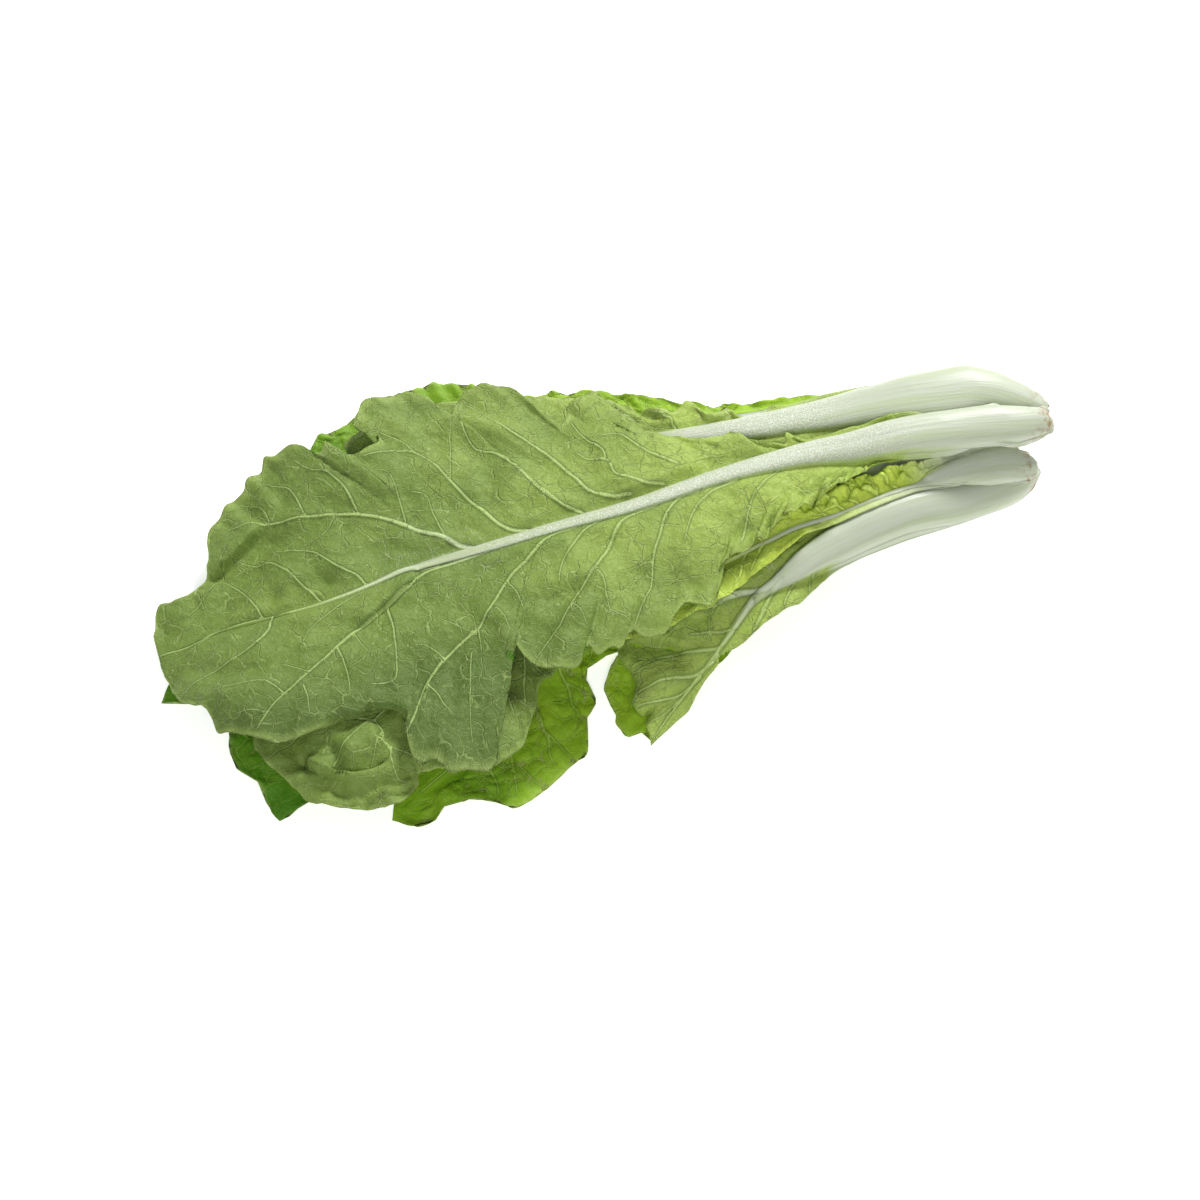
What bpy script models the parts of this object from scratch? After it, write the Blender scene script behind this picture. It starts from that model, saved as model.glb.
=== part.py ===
"""A head of leafy bok choy lying on its side: thirteen leaves round a short cut stem.

The leaves are listed from the table up. Each is laid over what is already there, like a
sheet over a pile, so a thicker stalk or a wider blade lifts whatever lies on it.
+X points out of the cut end, +Y to the back of the pile, +Z up. The origin is on the
table, below the middle of the head's box.
"""

from dataclasses import dataclass

import bmesh
import bpy
import numpy as np

MM = 0.001

# Driving dimensions, in millimetres.
HEAD_LENGTH = 336.0  # cut end to the furthest leaf tip
HEAD_SPREAD = 176.0  # across the fanned blades
CORE_RADIUS = 6.5  # stem where it was cut
CORE_LENGTH = 28.0
CORE_SETBACK = 4.0  # from the furthest stalk foot to the cut
CORE_SIDE = 5.0  # its axis, towards +Y
STALK_THICKNESS = 5.6  # outer stalks, through the fleshy middle
BLADE_THICKNESS = 0.9
CLEARANCE = 0.4  # air between one stalk and the next
BLADE_AIR = 3.0  # more air below a blade for each OPENING along it, taken up by ruffles
OPENING = 120.0

# The plan is drawn in millimetres for a head of this length and spread, and stretched.
DRAWN_LENGTH = 336.0
DRAWN_SPREAD = 176.0

WING = 1.2  # narrowest strip of blade beside a stalk
HEEL_LENGTH = 12.0  # stretch over which a stalk rounds off at its foot
HEEL_SHARE = 0.6  # of the stalk's width and thickness, at the foot
ROUNDED_SHARE = 0.1  # of a leaf's length, over which its tip rounds off
ROUNDED_STATIONS = (0.45, 0.75, 0.92, 1.0)  # places along that
ROUNDED_END = 0.3  # share of the blade's width that is left at the very tip
FLAT_SHARE = 0.4  # of the stalk's half width, pressed flat
BLADE_STEPS = (0.34, 0.68, 1.0)  # places across a blade, from its stalk to its margin
SAG = 0.0006  # droop of an unsupported blade, per millimetre
RELAX_ROUNDS = 400
QUAD_SAMPLES = 6  # places looked at along each side of a quad
CORE_SIDES = 28
CORE_TIP_SHARE = 0.55  # of the core's radius, at its growing end
CORE_BEVEL = 1.2


@dataclass
class Leaf:
    """One leaf, drawn in plan. Distances along it run from its foot."""

    name: str
    rib: list  # (distance back from the cut end, sideways place) of its midrib
    far: list  # (distance along, width of blade) on its +Y side
    near: list  # the same on its -Y side
    stalk: float  # half width of the stalk
    taper: list  # (share of length, share of that half width)
    back_up: bool  # its ribbed back faces up
    thickness: float = 1.0  # share of STALK_THICKNESS
    stations: int = 14
    droop: float = 0.15  # slope of its free margins
    foot: str = "laid"  # on the pile, or level with the core's axis: "beside_core", or
    # "core_tip", where the rib is drawn from the core's growing end
    material: str = "leaf_face"


LONG_TAPER = [(0, 1), (0.2, 0.95), (0.35, 0.6), (0.65, 0.28), (1, 0.1)]
QUICK_TAPER = [(0, 1), (0.25, 0.92), (0.5, 0.5), (0.75, 0.22), (1, 0.1)]

LEAVES_BELOW_CORE = [
    Leaf(
        name="leaf_under_middle",
        rib=[(8, 3), (110, 2), (230, -6), (300, -12), (332, -15)],
        far=[(90, 3), (150, 26), (240, 46), (325, 34)],
        near=[(90, 3), (150, 24), (240, 36), (325, 30)],
        stalk=5.0,
        taper=LONG_TAPER,
        back_up=False,
    ),
    Leaf(
        name="leaf_under_back",
        rib=[(8, 11), (90, 22), (170, 42), (230, 58), (278, 66)],
        far=[(80, 2), (120, 14), (160, 28), (186, 26), (216, 33), (250, 28), (284, 22)],
        near=[(80, 3), (130, 18), (200, 36), (250, 30), (284, 22)],
        stalk=5.0,
        taper=LONG_TAPER,
        back_up=False,
    ),
    Leaf(
        name="leaf_under_front",
        rib=[(6, -5), (70, -10), (130, -18), (180, -32), (215, -54), (238, -71), (253, -82)],
        far=[(90, 3), (150, 24), (210, 36), (254, 28), (274, 22)],
        near=[(120, 4), (200, 13), (222, 22), (254, 22), (274, 18)],
        stalk=5.0,
        taper=LONG_TAPER,
        back_up=False,
    ),
    Leaf(
        name="leaf_under_left",
        rib=[(16, 2), (100, -4), (180, -14), (240, -34), (282, -56), (304, -76)],
        far=[(100, 3), (170, 26), (240, 36), (290, 30), (325, 22)],
        near=[(100, 3), (170, 24), (240, 30), (290, 24), (325, 20)],
        stalk=4.0,
        taper=LONG_TAPER,
        back_up=False,
        thickness=0.6,
    ),
]

LEAVES_ABOVE_CORE = [
    Leaf(
        name="leaf_front_low",
        rib=[
            (8, -8), (14, -10), (27, -14), (55, -18.5), (83, -22.5), (112, -32), (140, -48),
            (164, -66),
        ],
        far=[(80, 2), (120, 14), (155, 22), (184, 18)],
        near=[(80, 1), (110, 5), (150, 8), (184, 8)],
        stalk=5.0,
        taper=QUICK_TAPER,
        back_up=False,
    ),
    Leaf(
        name="leaf_back_edge",
        rib=[(7, 12), (20, 20), (40, 27), (62, 30), (100, 35), (150, 44), (200, 53), (238, 62)],
        far=[(60, 2), (110, 8), (150, 18), (200, 18), (240, 14)],
        near=[(60, 2), (110, 12), (160, 24), (210, 22), (240, 18)],
        stalk=5.5,
        taper=QUICK_TAPER,
        back_up=False,
        foot="beside_core",
    ),
    Leaf(
        name="heart_leaf_long",
        rib=[(0, 2), (48, 2), (108, -3), (160, -9)],
        far=[(20, 2), (60, 14), (110, 24), (162, 16)],
        near=[(20, 2), (60, 12), (110, 22), (162, 16)],
        stalk=3.0,
        taper=QUICK_TAPER,
        back_up=True,
        thickness=0.5,
        stations=11,
        foot="core_tip",
    ),
    Leaf(
        name="heart_leaf_short",
        rib=[(0, -2), (28, -12), (64, -22), (102, -34)],
        far=[(15, 2), (45, 10), (80, 14), (109, 9)],
        near=[(15, 2), (45, 8), (80, 13), (109, 9)],
        stalk=2.5,
        taper=QUICK_TAPER,
        back_up=True,
        thickness=0.45,
        stations=11,
        foot="core_tip",
        material="leaf_pale",
    ),
    Leaf(
        name="leaf_folded",
        rib=[(0, 0), (68, -11), (148, -25), (208, -47), (244, -69), (262, -84)],
        far=[(100, 3), (170, 26), (230, 36), (276, 30), (298, 26)],
        near=[(100, 3), (170, 24), (230, 28), (276, 26), (298, 22)],
        stalk=3.0,
        taper=LONG_TAPER,
        back_up=True,
        thickness=0.5,
        foot="core_tip",
        material="leaf_back",
    ),
    Leaf(
        name="leaf_front",
        rib=[
            (9, -14), (20, -20), (40, -23), (76, -25), (96, -28), (119, -35), (133, -45),
            (144, -55), (157, -67), (170, -79),
        ],
        far=[(78, 2), (105, 6), (130, 18), (158, 26), (196, 20)],
        near=[(66, 2), (85, 5), (110, 13), (128, 11), (150, 6), (196, 8)],
        stalk=6.3,
        taper=[(0, 1), (0.3, 0.95), (0.55, 0.55), (0.75, 0.25), (1, 0.1)],
        back_up=True,
        stations=18,
        material="leaf_back",
    ),
    Leaf(
        name="leaf_inner_front",
        rib=[
            (10, -11), (18, -13), (30, -12), (46, -12.6), (60, -13.5), (77, -15.5), (93, -17),
            (109, -20), (160, -32), (208, -44),
        ],
        far=[(20, 2), (40, 7), (80, 8), (130, 18), (204, 14)],
        near=[(30, 1), (90, 3), (130, 12), (204, 14)],
        stalk=6.5,
        taper=[(0, 1), (0.1, 0.9), (0.18, 0.45), (0.25, 0.25), (0.6, 0.18), (1, 0.1)],
        back_up=True,
        thickness=0.7,
        stations=18,
        material="leaf_back",
    ),
    Leaf(
        name="leaf_top_back",
        rib=[
            (2, 5), (9, 11), (29, 16), (52, 17.5), (67, 18.5), (90, 21), (119, 25), (190, 36),
            (254, 47),
        ],
        far=[(60, 1), (90, 6), (112, 8), (124, 16), (143, 16), (170, 28), (225, 26), (262, 20)],
        near=[(60, 2), (120, 8), (160, 22), (210, 34), (262, 20)],
        stalk=8.4,
        taper=LONG_TAPER,
        back_up=True,
        stations=18,
        material="leaf_back",
    ),
    Leaf(
        name="leaf_top",
        rib=[
            (1, -5.5), (36, -3.4), (66, 1), (95, 4), (126, 2), (156, -0.5), (215, -3),
            (266, -8), (311, -9), (334, -6),
        ],
        far=[
            (60, 1), (88, 1), (104, 10), (127, 18), (147, 31), (158, 48), (197, 67),
            (236, 73), (254, 62), (282, 66), (306, 41), (333, 22),
        ],
        near=[
            (44, 1), (69, 5), (87, 7), (100, 14), (116, 23), (134, 24), (150, 39), (170, 49),
            (202, 53), (218, 74), (232, 80), (246, 77), (256, 69), (268, 48), (304, 48), (333, 28),
        ],
        stalk=7.0,
        taper=LONG_TAPER,
        back_up=True,
        stations=24,
        droop=0.3,
        material="leaf_back",
    ),
]

MATERIALS = {  # name: (colour, roughness)
    "leaf_back": ((0.26, 0.36, 0.11), 0.55),
    "leaf_face": ((0.12, 0.27, 0.02), 0.4),
    "leaf_pale": ((0.42, 0.52, 0.16), 0.5),
    "stem": ((0.62, 0.66, 0.50), 0.45),
}


class Pile:
    """Height of everything laid so far, seen from above, on a grid of square cells."""

    CELL = 1.0
    MARGIN = 60.0

    def __init__(self):
        self.low = np.array([-HEAD_LENGTH, -HEAD_SPREAD]) - self.MARGIN
        high = np.array([0.0, HEAD_SPREAD]) + self.MARGIN
        self.height = np.zeros(np.ceil((high - self.low) / self.CELL).astype(int))
        self.core_axis = 0.0

    def cells(self, plan):
        return np.floor((plan - self.low) / self.CELL).astype(int)

    def top(self, plan):
        """The highest point within a cell of each place in plan."""
        at = self.cells(plan)
        shifts = [(i, j) for i in (-1, 0, 1) for j in (-1, 0, 1)]
        return np.max([self.height[at[..., 0] + i, at[..., 1] + j] for i, j in shifts], axis=0)

    def add(self, corners):
        """Raises the pile to the triangles in corners, an array of shape (n, 3, 3)."""
        longest = np.linalg.norm(np.ptp(corners[..., :2], axis=1), axis=1).max()
        steps = int(longest / (0.7 * self.CELL)) + 2
        a, b = np.meshgrid(np.linspace(0, 1, steps), np.linspace(0, 1, steps))
        inside = a + b <= 1.0 + 1e-9
        a, b = a[inside], b[inside]
        weights = np.stack([1 - a - b, a, b], axis=1)
        points = np.einsum("sk,nkc->nsc", weights, corners).reshape(-1, 3)
        at = self.cells(points[:, :2])
        np.maximum.at(self.height, (at[:, 0], at[:, 1]), points[:, 2])


def smooth_path(points, count_per_span=24):
    """A dense smooth line through the given plan points, ends included."""
    p = np.array(points, float)
    p = np.vstack([2 * p[0] - p[1], p, 2 * p[-1] - p[-2]])
    t = np.linspace(0, 1, count_per_span, endpoint=False)[:, None]
    spans = []
    for a, b, c, d in zip(p[:-3], p[1:-2], p[2:-1], p[3:]):
        bend = (2 * a - 5 * b + 4 * c - d) * t**2 + (3 * b - a - 3 * c + d) * t**3
        spans.append(0.5 * (2 * b + (c - a) * t + bend))
    return np.vstack([*spans, p[-2:-1]])


def steps_between(points, axis):
    return np.linalg.norm(np.diff(points, axis=axis), axis=-1)


def plan_of(leaf):
    """Plan places of the leaf's grid, thickness at each, and distance along at each station."""
    stretch = np.array([HEAD_LENGTH / DRAWN_LENGTH, HEAD_SPREAD / DRAWN_SPREAD])
    drawn = np.array(leaf.rib, float)
    foot = drawn[0]
    moved = foot + (drawn - foot) * stretch
    if leaf.foot == "core_tip":
        moved += (CORE_SETBACK + CORE_LENGTH + CLEARANCE, CORE_SIDE)
    path = smooth_path(np.stack([-moved[:, 0], moved[:, 1]], axis=1))
    along = np.concatenate([[0], np.cumsum(steps_between(path, 0))])
    drawn_length = steps_between(smooth_path(drawn), 0).sum()

    straight = np.linspace(0, 1 - ROUNDED_SHARE, leaf.stations)
    share = np.append(straight, 1 - ROUNDED_SHARE * (1 - np.array(ROUNDED_STATIONS)))
    rounding = np.clip((share - straight[-1]) / ROUNDED_SHARE, 0, 1)
    rounding = ROUNDED_END + (1 - ROUNDED_END) * np.sqrt(1 - rounding**2)
    distance = share * along[-1]
    centre = np.stack([np.interp(distance, along, path[:, k]) for k in (0, 1)], axis=1)
    tangent = np.gradient(centre, axis=0)
    tangent /= np.linalg.norm(tangent, axis=1, keepdims=True)
    far_side = np.stack([tangent[:, 1], -tangent[:, 0]], axis=1)

    heel = HEEL_SHARE + (1 - HEEL_SHARE) * np.clip(distance / HEEL_LENGTH, 0, 1)
    taper = np.interp(share, *zip(*leaf.taper)) * heel
    half = leaf.stalk * taper
    wide = {}
    for side, outline in (("far", leaf.far), ("near", leaf.near)):
        drawn_width = np.interp(share * drawn_length, *zip(*outline), left=0.0) * rounding
        wide[side] = half + np.maximum(drawn_width * stretch[1], WING)

    def blade(width):
        return [half + (width - half) * step for step in BLADE_STEPS]

    offsets = [-o for o in reversed(blade(wide["near"]))]
    offsets += [-half, -FLAT_SHARE * half, 0 * half, FLAT_SHARE * half, half]
    offsets += blade(wide["far"])
    offsets = np.stack(offsets, axis=1)
    plan = centre[:, None, :] + far_side[:, None, :] * offsets[..., None]

    full = np.maximum(STALK_THICKNESS * leaf.thickness * taper, BLADE_THICKNESS)
    edge = np.maximum(0.4 * full, BLADE_THICKNESS)
    thin = np.full_like(full, BLADE_THICKNESS)
    thick = np.stack([thin] * 3 + [edge, full, full, full, edge] + [thin] * 3, axis=1)
    return plan, thick, distance


def grid_triangles(rows, columns):
    """Corner numbers of the two triangles in each quad of a grid."""
    i, j = np.meshgrid(np.arange(rows - 1), np.arange(columns - 1), indexing="ij")
    a = (i * columns + j).ravel()
    b, c, d = a + columns, a + columns + 1, a + 1
    return np.concatenate([np.stack([a, b, c], 1), np.stack([a, c, d], 1)])


def highest_below(plan, pile):
    """The pile's highest point under the quads that meet at each grid place."""
    t = np.linspace(0, 1, QUAD_SAMPLES)
    u, v = np.meshgrid(t, t, indexing="ij")
    corners = (plan[:-1, :-1], plan[1:, :-1], plan[1:, 1:], plan[:-1, 1:])
    weights = ((1 - u) * (1 - v), u * (1 - v), u * v, (1 - u) * v)
    places = sum(c[:, :, None, None] * w[..., None] for c, w in zip(corners, weights))
    quads = pile.top(places).max(axis=(2, 3))
    padded = np.pad(quads, 1, constant_values=-np.inf)
    near = [padded[:-1, :-1], padded[1:, :-1], padded[1:, 1:], padded[:-1, 1:]]
    return np.max(near, axis=0)


def settle(floor, plan, droop):
    """The height of a limp sheet that lies on floor at every grid place."""
    along = steps_between(plan, 0)
    across = steps_between(plan, 1)
    sheet = floor.copy()
    for _ in range(RELAX_ROUNDS):
        lengthwise = sheet.copy()
        a, b = along[:-1], along[1:]
        lengthwise[1:-1] = (sheet[:-2] * b + sheet[2:] * a) / (a + b) - SAG * a * b
        lengthwise[-1] = sheet[-2] - droop * along[-1]
        lengthwise[0] = sheet[1]
        sideways = sheet.copy()
        a, b = across[:, :-1], across[:, 1:]
        mean = (sheet[:, :-2] * b + sheet[:, 2:] * a) / (a + b)
        sideways[:, 1:-1] = mean - SAG * a * b
        sideways[:, 0] = sheet[:, 1] - droop * across[:, 0]
        sideways[:, -1] = sheet[:, -2] - droop * across[:, -1]
        sheet = np.maximum(floor, 0.5 * (lengthwise + sideways))
    return sheet


def lay_leaf(leaf, pile):
    """Lays the leaf on the pile. Returns its top and underside as grids of points."""
    plan, thick, distance = plan_of(leaf)
    gap = CLEARANCE + BLADE_AIR * np.maximum(distance / OPENING - 0.5, 0)
    below = highest_below(plan, pile)
    on_table = below <= 0
    floor = np.where(on_table, 0.0, below + gap[:, None])
    if leaf.foot != "laid":
        floor[0] = np.maximum(floor[0], pile.core_axis - thick[0] / 2)
    if leaf.back_up:
        under = settle(floor, plan, leaf.droop)
        top = under + thick
    else:
        top = settle(floor + thick, plan, leaf.droop)
        under = top - thick
    top_points = np.concatenate([plan, top[..., None]], axis=2)
    under_points = np.concatenate([plan, under[..., None]], axis=2)
    flat = top_points.reshape(-1, 3)
    pile.add(flat[grid_triangles(*top.shape)])
    return top_points, under_points


def material(name):
    found = bpy.data.materials.get(name)
    if found:
        return found
    colour, roughness = MATERIALS[name]
    made = bpy.data.materials.new(name)
    made.use_nodes = True
    shader = made.node_tree.nodes["Principled BSDF"]
    shader.inputs["Base Color"].default_value = (*colour, 1.0)
    shader.inputs["Roughness"].default_value = roughness
    made.diffuse_color = (*colour, 1.0)
    return made


def leaf_mesh(name, top, under):
    """A closed leaf: its two grids, joined round their edges."""
    rows, columns = top.shape[:2]
    shape = bmesh.new()
    upper = [shape.verts.new(p * MM) for p in top.reshape(-1, 3)]
    lower = [shape.verts.new(p * MM) for p in under.reshape(-1, 3)]
    for a, b, c in grid_triangles(rows, columns):
        shape.faces.new((upper[c], upper[b], upper[a]))
        shape.faces.new((lower[a], lower[b], lower[c]))
    last = (rows - 1) * columns
    sides = [
        list(range(columns)),
        [columns - 1 + k * columns for k in range(rows)],
        list(range(last + columns - 1, last - 1, -1)),
        [k * columns for k in range(rows - 1, -1, -1)],
    ]
    for side in sides:
        for a, b in zip(side, side[1:]):
            shape.faces.new((upper[a], upper[b], lower[b], lower[a]))
    bmesh.ops.recalc_face_normals(shape, faces=shape.faces)
    mesh = bpy.data.meshes.new(name)
    shape.to_mesh(mesh)
    shape.free()
    return mesh


def add_leaf(leaf, pile, collection):
    top, under = lay_leaf(leaf, pile)
    obj = bpy.data.objects.new(leaf.name, leaf_mesh(leaf.name, top, under))
    obj.data.materials.append(material(leaf.material))
    collection.objects.link(obj)
    return obj


def add_core(pile, collection):
    """The cut stem: a short cone along X, resting on the stalks below it."""
    ring = CORE_SIDE + np.linspace(-CORE_RADIUS, CORE_RADIUS, 21)
    reach = -CORE_SETBACK - np.linspace(0, CORE_LENGTH, 21)
    plan = np.stack(np.meshgrid(reach, ring, indexing="ij"), axis=2)
    axis_height = pile.top(plan).max() + CLEARANCE + CORE_RADIUS
    pile.core_axis = axis_height
    bpy.ops.mesh.primitive_cone_add(
        vertices=CORE_SIDES,
        radius1=CORE_TIP_SHARE * CORE_RADIUS * MM,
        radius2=CORE_RADIUS * MM,
        depth=CORE_LENGTH * MM,
        location=(-(CORE_SETBACK + CORE_LENGTH / 2) * MM, CORE_SIDE * MM, axis_height * MM),
        rotation=(0, np.pi / 2, 0),
    )
    core = bpy.context.object
    core.name = core.data.name = "stem_core"
    bevel = core.modifiers.new("rounded_rims", "BEVEL")
    bevel.width = CORE_BEVEL * MM
    bevel.segments = 2
    core.data.materials.append(material("stem"))
    core.data.shade_smooth()
    for old in list(core.users_collection):
        old.objects.unlink(core)
    collection.objects.link(core)
    pile.add(core_top(axis_height))
    return core


def core_top(axis_height):
    """Triangles over the upper half of the core, for the leaves that lie on it."""
    turn = np.linspace(0, np.pi, 17)
    ends = []
    for reach, radius in ((CORE_LENGTH, CORE_TIP_SHARE * CORE_RADIUS), (0, CORE_RADIUS)):
        across = CORE_SIDE + radius * np.cos(turn)
        height = axis_height + radius * np.sin(turn)
        back = np.full_like(turn, -CORE_SETBACK - reach)
        ends.append(np.stack([back, across, height], axis=1))
    points = np.array(ends)
    return points.reshape(-1, 3)[grid_triangles(*points.shape[:2])]


def centre_on_table(objects):
    """Moves everything so that the origin is on the table below the box's middle."""
    bpy.context.view_layer.update()
    corners = np.array([obj.matrix_world @ v.co for obj in objects for v in obj.data.vertices])
    low, high = corners.min(axis=0), corners.max(axis=0)
    head = bpy.data.objects.new("bok_choy", None)
    objects[0].users_collection[0].objects.link(head)
    head.location = (-(low[0] + high[0]) / 2, -(low[1] + high[1]) / 2, -low[2])
    for obj in objects:
        obj.parent = head


def main():
    for obj in list(bpy.data.objects):
        bpy.data.objects.remove(obj)
    collection = bpy.data.collections.new("bok_choy")
    bpy.context.scene.collection.children.link(collection)
    pile = Pile()
    objects = [add_leaf(leaf, pile, collection) for leaf in LEAVES_BELOW_CORE]
    objects.append(add_core(pile, collection))
    objects += [add_leaf(leaf, pile, collection) for leaf in LEAVES_ABOVE_CORE]
    centre_on_table(objects)


main()
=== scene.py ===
"""Looks of a head of bok choy that lies on its side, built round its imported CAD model.

Every leaf is a closed sheet of its own that replaces one CAD node. It is drawn in plan, in
millimetres: the first number is the distance back from the cut end, the second the place
across the head, towards the back. Its height comes from the CAD node that it stands for.
"""

from dataclasses import dataclass

import bpy
import numpy as np
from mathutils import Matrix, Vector


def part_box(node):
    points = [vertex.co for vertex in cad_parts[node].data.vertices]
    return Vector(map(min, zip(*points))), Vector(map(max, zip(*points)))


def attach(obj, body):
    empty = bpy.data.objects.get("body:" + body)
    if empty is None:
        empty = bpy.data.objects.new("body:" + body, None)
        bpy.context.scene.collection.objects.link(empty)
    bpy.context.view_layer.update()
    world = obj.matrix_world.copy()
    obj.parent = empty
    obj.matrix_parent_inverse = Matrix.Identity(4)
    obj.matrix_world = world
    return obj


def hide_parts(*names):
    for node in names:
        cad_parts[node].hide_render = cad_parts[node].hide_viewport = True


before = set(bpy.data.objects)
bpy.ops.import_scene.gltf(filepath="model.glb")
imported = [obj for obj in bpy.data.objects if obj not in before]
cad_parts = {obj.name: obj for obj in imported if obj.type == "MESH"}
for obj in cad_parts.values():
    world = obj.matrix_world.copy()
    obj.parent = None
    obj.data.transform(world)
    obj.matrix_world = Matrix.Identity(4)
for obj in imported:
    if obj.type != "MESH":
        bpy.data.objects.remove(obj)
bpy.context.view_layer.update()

MM = 0.001
core_low, core_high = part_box("stem_core")
CUT_X = core_high.x / MM + 4.0  # the plan's first number is 0 here
MIDDLE_Y = (core_low.y + core_high.y) / 2 / MM - 5.0  # and its second number is 0 here

# Shapes shared by all leaves. Lengths are in millimetres.
STALK_THICKNESS = 5.6
BLADE_THICKNESS = 0.55
EDGE_THICKNESS = 0.3
WING = 1.0  # strip of blade beside a bare stalk
WING_FROM = (26.0, 52.0)  # where it starts along the leaf
RIGID_FROM = 2.2  # half a stalk this wide is stiff
SHOULDER = 9  # rows over which the height evens out
STIFF = 10  # rows over which a stiff stalk evens out
PILE_GAP = 0.15  # between one leaf and those below it
LOWEST = 0.05  # above the table
END_ROUNDING = 1.5
FORWARD = 0.6  # how far forward a section leans for each millimetre out
VEIN_REACH = 14.0
NO_VEIN = 30.0  # the gap to a vein where there is none
FAR_FROM_VEIN = 2.2  # no vein colour past this
MIDRIB_HALF, SIDE_VEIN_HALF, TWIG_HALF = (1.1, 0.3), (0.65, 0.25), (0.4, 0.2)  # start, end
LEAST_BLADE = 7  # the narrowest that side veins grow in
HILLS = ((1.0, 34, 27, 0, 0), (0.6, 17, 14, 9, 0), (0.3, 8, 7, 0, 3))  # height, sizes, shifts
CELL = (7.5, 6.0)  # size of a patch between the small veins
WALL_SCALE = 6.5
NET_RIDGE, CUSP, PILLOW, BUMPS = 0.35, 0.9, 0.9, 0.22  # heights of what lies between veins
QUILTED = 2.6  # how much higher the upper face's net and cusps are
# How much of a stalk's width is left at each share of its length.
LONG_TAPER = ((0, 1), (0.2, 0.95), (0.35, 0.6), (0.65, 0.28), (1, 0.1))
QUICK_TAPER = ((0, 1), (0.25, 0.92), (0.5, 0.5), (0.75, 0.22), (1, 0.1))

# How finely things are worked out.
RIB_STEP = 0.5
VEIN_STEP = 1.5
SPAN_POINTS = 12  # in each span of a smooth line
REPEAT = 64  # cells of noise before it repeats
NOISE_REACH = 1.6  # brings the noise to -1 to 1
LOW, SIZE = np.array([-25.0, -130.0]), np.array([405.0, 250.0])  # of the maps
HEIGHT_CELL, PILE_CELL = 1.5, 0.8
HEIGHT_SAMPLES, CORE_SAMPLES = 14, 20  # along a side of each CAD triangle
LEVEL = 0.15  # least slope of a triangle that faces up or down
SPREAD = 45  # cells that a height is carried past a margin
SIDES = (-1, 1)  # near, far
AROUND = [(a, b) for a in (-1, 0, 1) for b in (-1, 0, 1)]

# The studio. Lengths are in metres.
FLOOR_SIZE, FLOOR_Z, FLOOR_GLOW = 8.0, -0.0004, 0.55
SKY_STRENGTH = 0.33
LAMPS = {"key": ((0.66, 0.92, 0.92), 0.4, 23.0), "fill": ((-0.3, -1.1, 1.1), 1.0, 10.0)}
LENS, SENSOR_WIDTH = 85.0, 36.0  # millimetres
CAMERA_PLACE = (-0.137927, -0.519415, 0.894685)
CAMERA_AIM = (0.125190, 0.484074, -0.866025)


# ---------------------------------------------------------------- curves and noise


def distances(line):
    """How far along a line each of its points is."""
    return np.concatenate([[0], np.cumsum(np.linalg.norm(np.diff(line, axis=0), axis=1))])


def looked_up(at, along, values):
    """Rows of numbers, given at some distances, at other distances."""
    return np.stack([np.interp(at, along, column) for column in values.T], axis=1)


def resampled(line, step):
    """Points at equal distances along a line, about a step apart."""
    along = distances(line)
    count = max(int(round(along[-1] / step)), 2) + 1
    return looked_up(np.linspace(0, along[-1], count), along, line)


def unit(v, least=1e-9):
    return v / np.maximum(np.linalg.norm(v, axis=-1, keepdims=True), least)


def running_mean(value, reach):
    kernel = np.ones(2 * reach + 1) / (2 * reach + 1)
    return np.convolve(np.pad(value, reach, mode="edge"), kernel, mode="valid")


def smooth_line(points, step=RIB_STEP):
    """A smooth line through the points, as points a step apart."""
    p = np.array(points, float)
    p = np.vstack([2 * p[0] - p[1], p, 2 * p[-1] - p[-2]])
    t = np.linspace(0, 1, SPAN_POINTS, endpoint=False)[:, None]
    spans = []
    for a, b, c, d in zip(p[:-3], p[1:-2], p[2:-1], p[3:]):
        bend = (2 * a - 5 * b + 4 * c - d) * t**2 + (3 * b - a - 3 * c + d) * t**3
        spans.append(0.5 * (2 * b + (c - a) * t + bend))
    return resampled(np.vstack([*spans, p[-2:-1]]), step=step)


def tangents(line):
    return unit(np.gradient(line, axis=0))


def smooth_step(x, low=0.0, high=1.0):
    t = np.clip((x - low) / (high - low), 0, 1)
    return t * t * (3 - 2 * t)


def faded_ends(share, end):
    """1 along the middle of a line, and 0 at its ends."""
    return smooth_step(share, 0, end) * smooth_step(1 - share, 0, end)


class Noise:
    """Smooth noise over a plane, from -1 to 1, the same on every run."""

    def __init__(self, seed):
        rng = np.random.default_rng(seed)
        turn = rng.uniform(0, 2 * np.pi, (REPEAT, REPEAT))
        self.slope = np.stack([np.cos(turn), np.sin(turn)], axis=-1)

    def __call__(self, x, y):
        x, y = np.broadcast_arrays(np.asarray(x, float), np.asarray(y, float))
        i, j = np.floor(x).astype(int), np.floor(y).astype(int)
        u, v = x - i, y - j
        total = 0.0
        for di in (0, 1):
            for dj in (0, 1):
                slope = self.slope[(i + di) % REPEAT, (j + dj) % REPEAT]
                dot = slope[..., 0] * (u - di) + slope[..., 1] * (v - dj)
                fade = smooth_step(1 - np.abs(u - di))
                total = total + dot * fade * smooth_step(1 - np.abs(v - dj))
        return NOISE_REACH * total

    def layered(self, x, y, layers):
        return sum(0.5**k * self(x * 2**k + 7.3 * k, y * 2**k - 3.1 * k) for k in range(layers))


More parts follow.
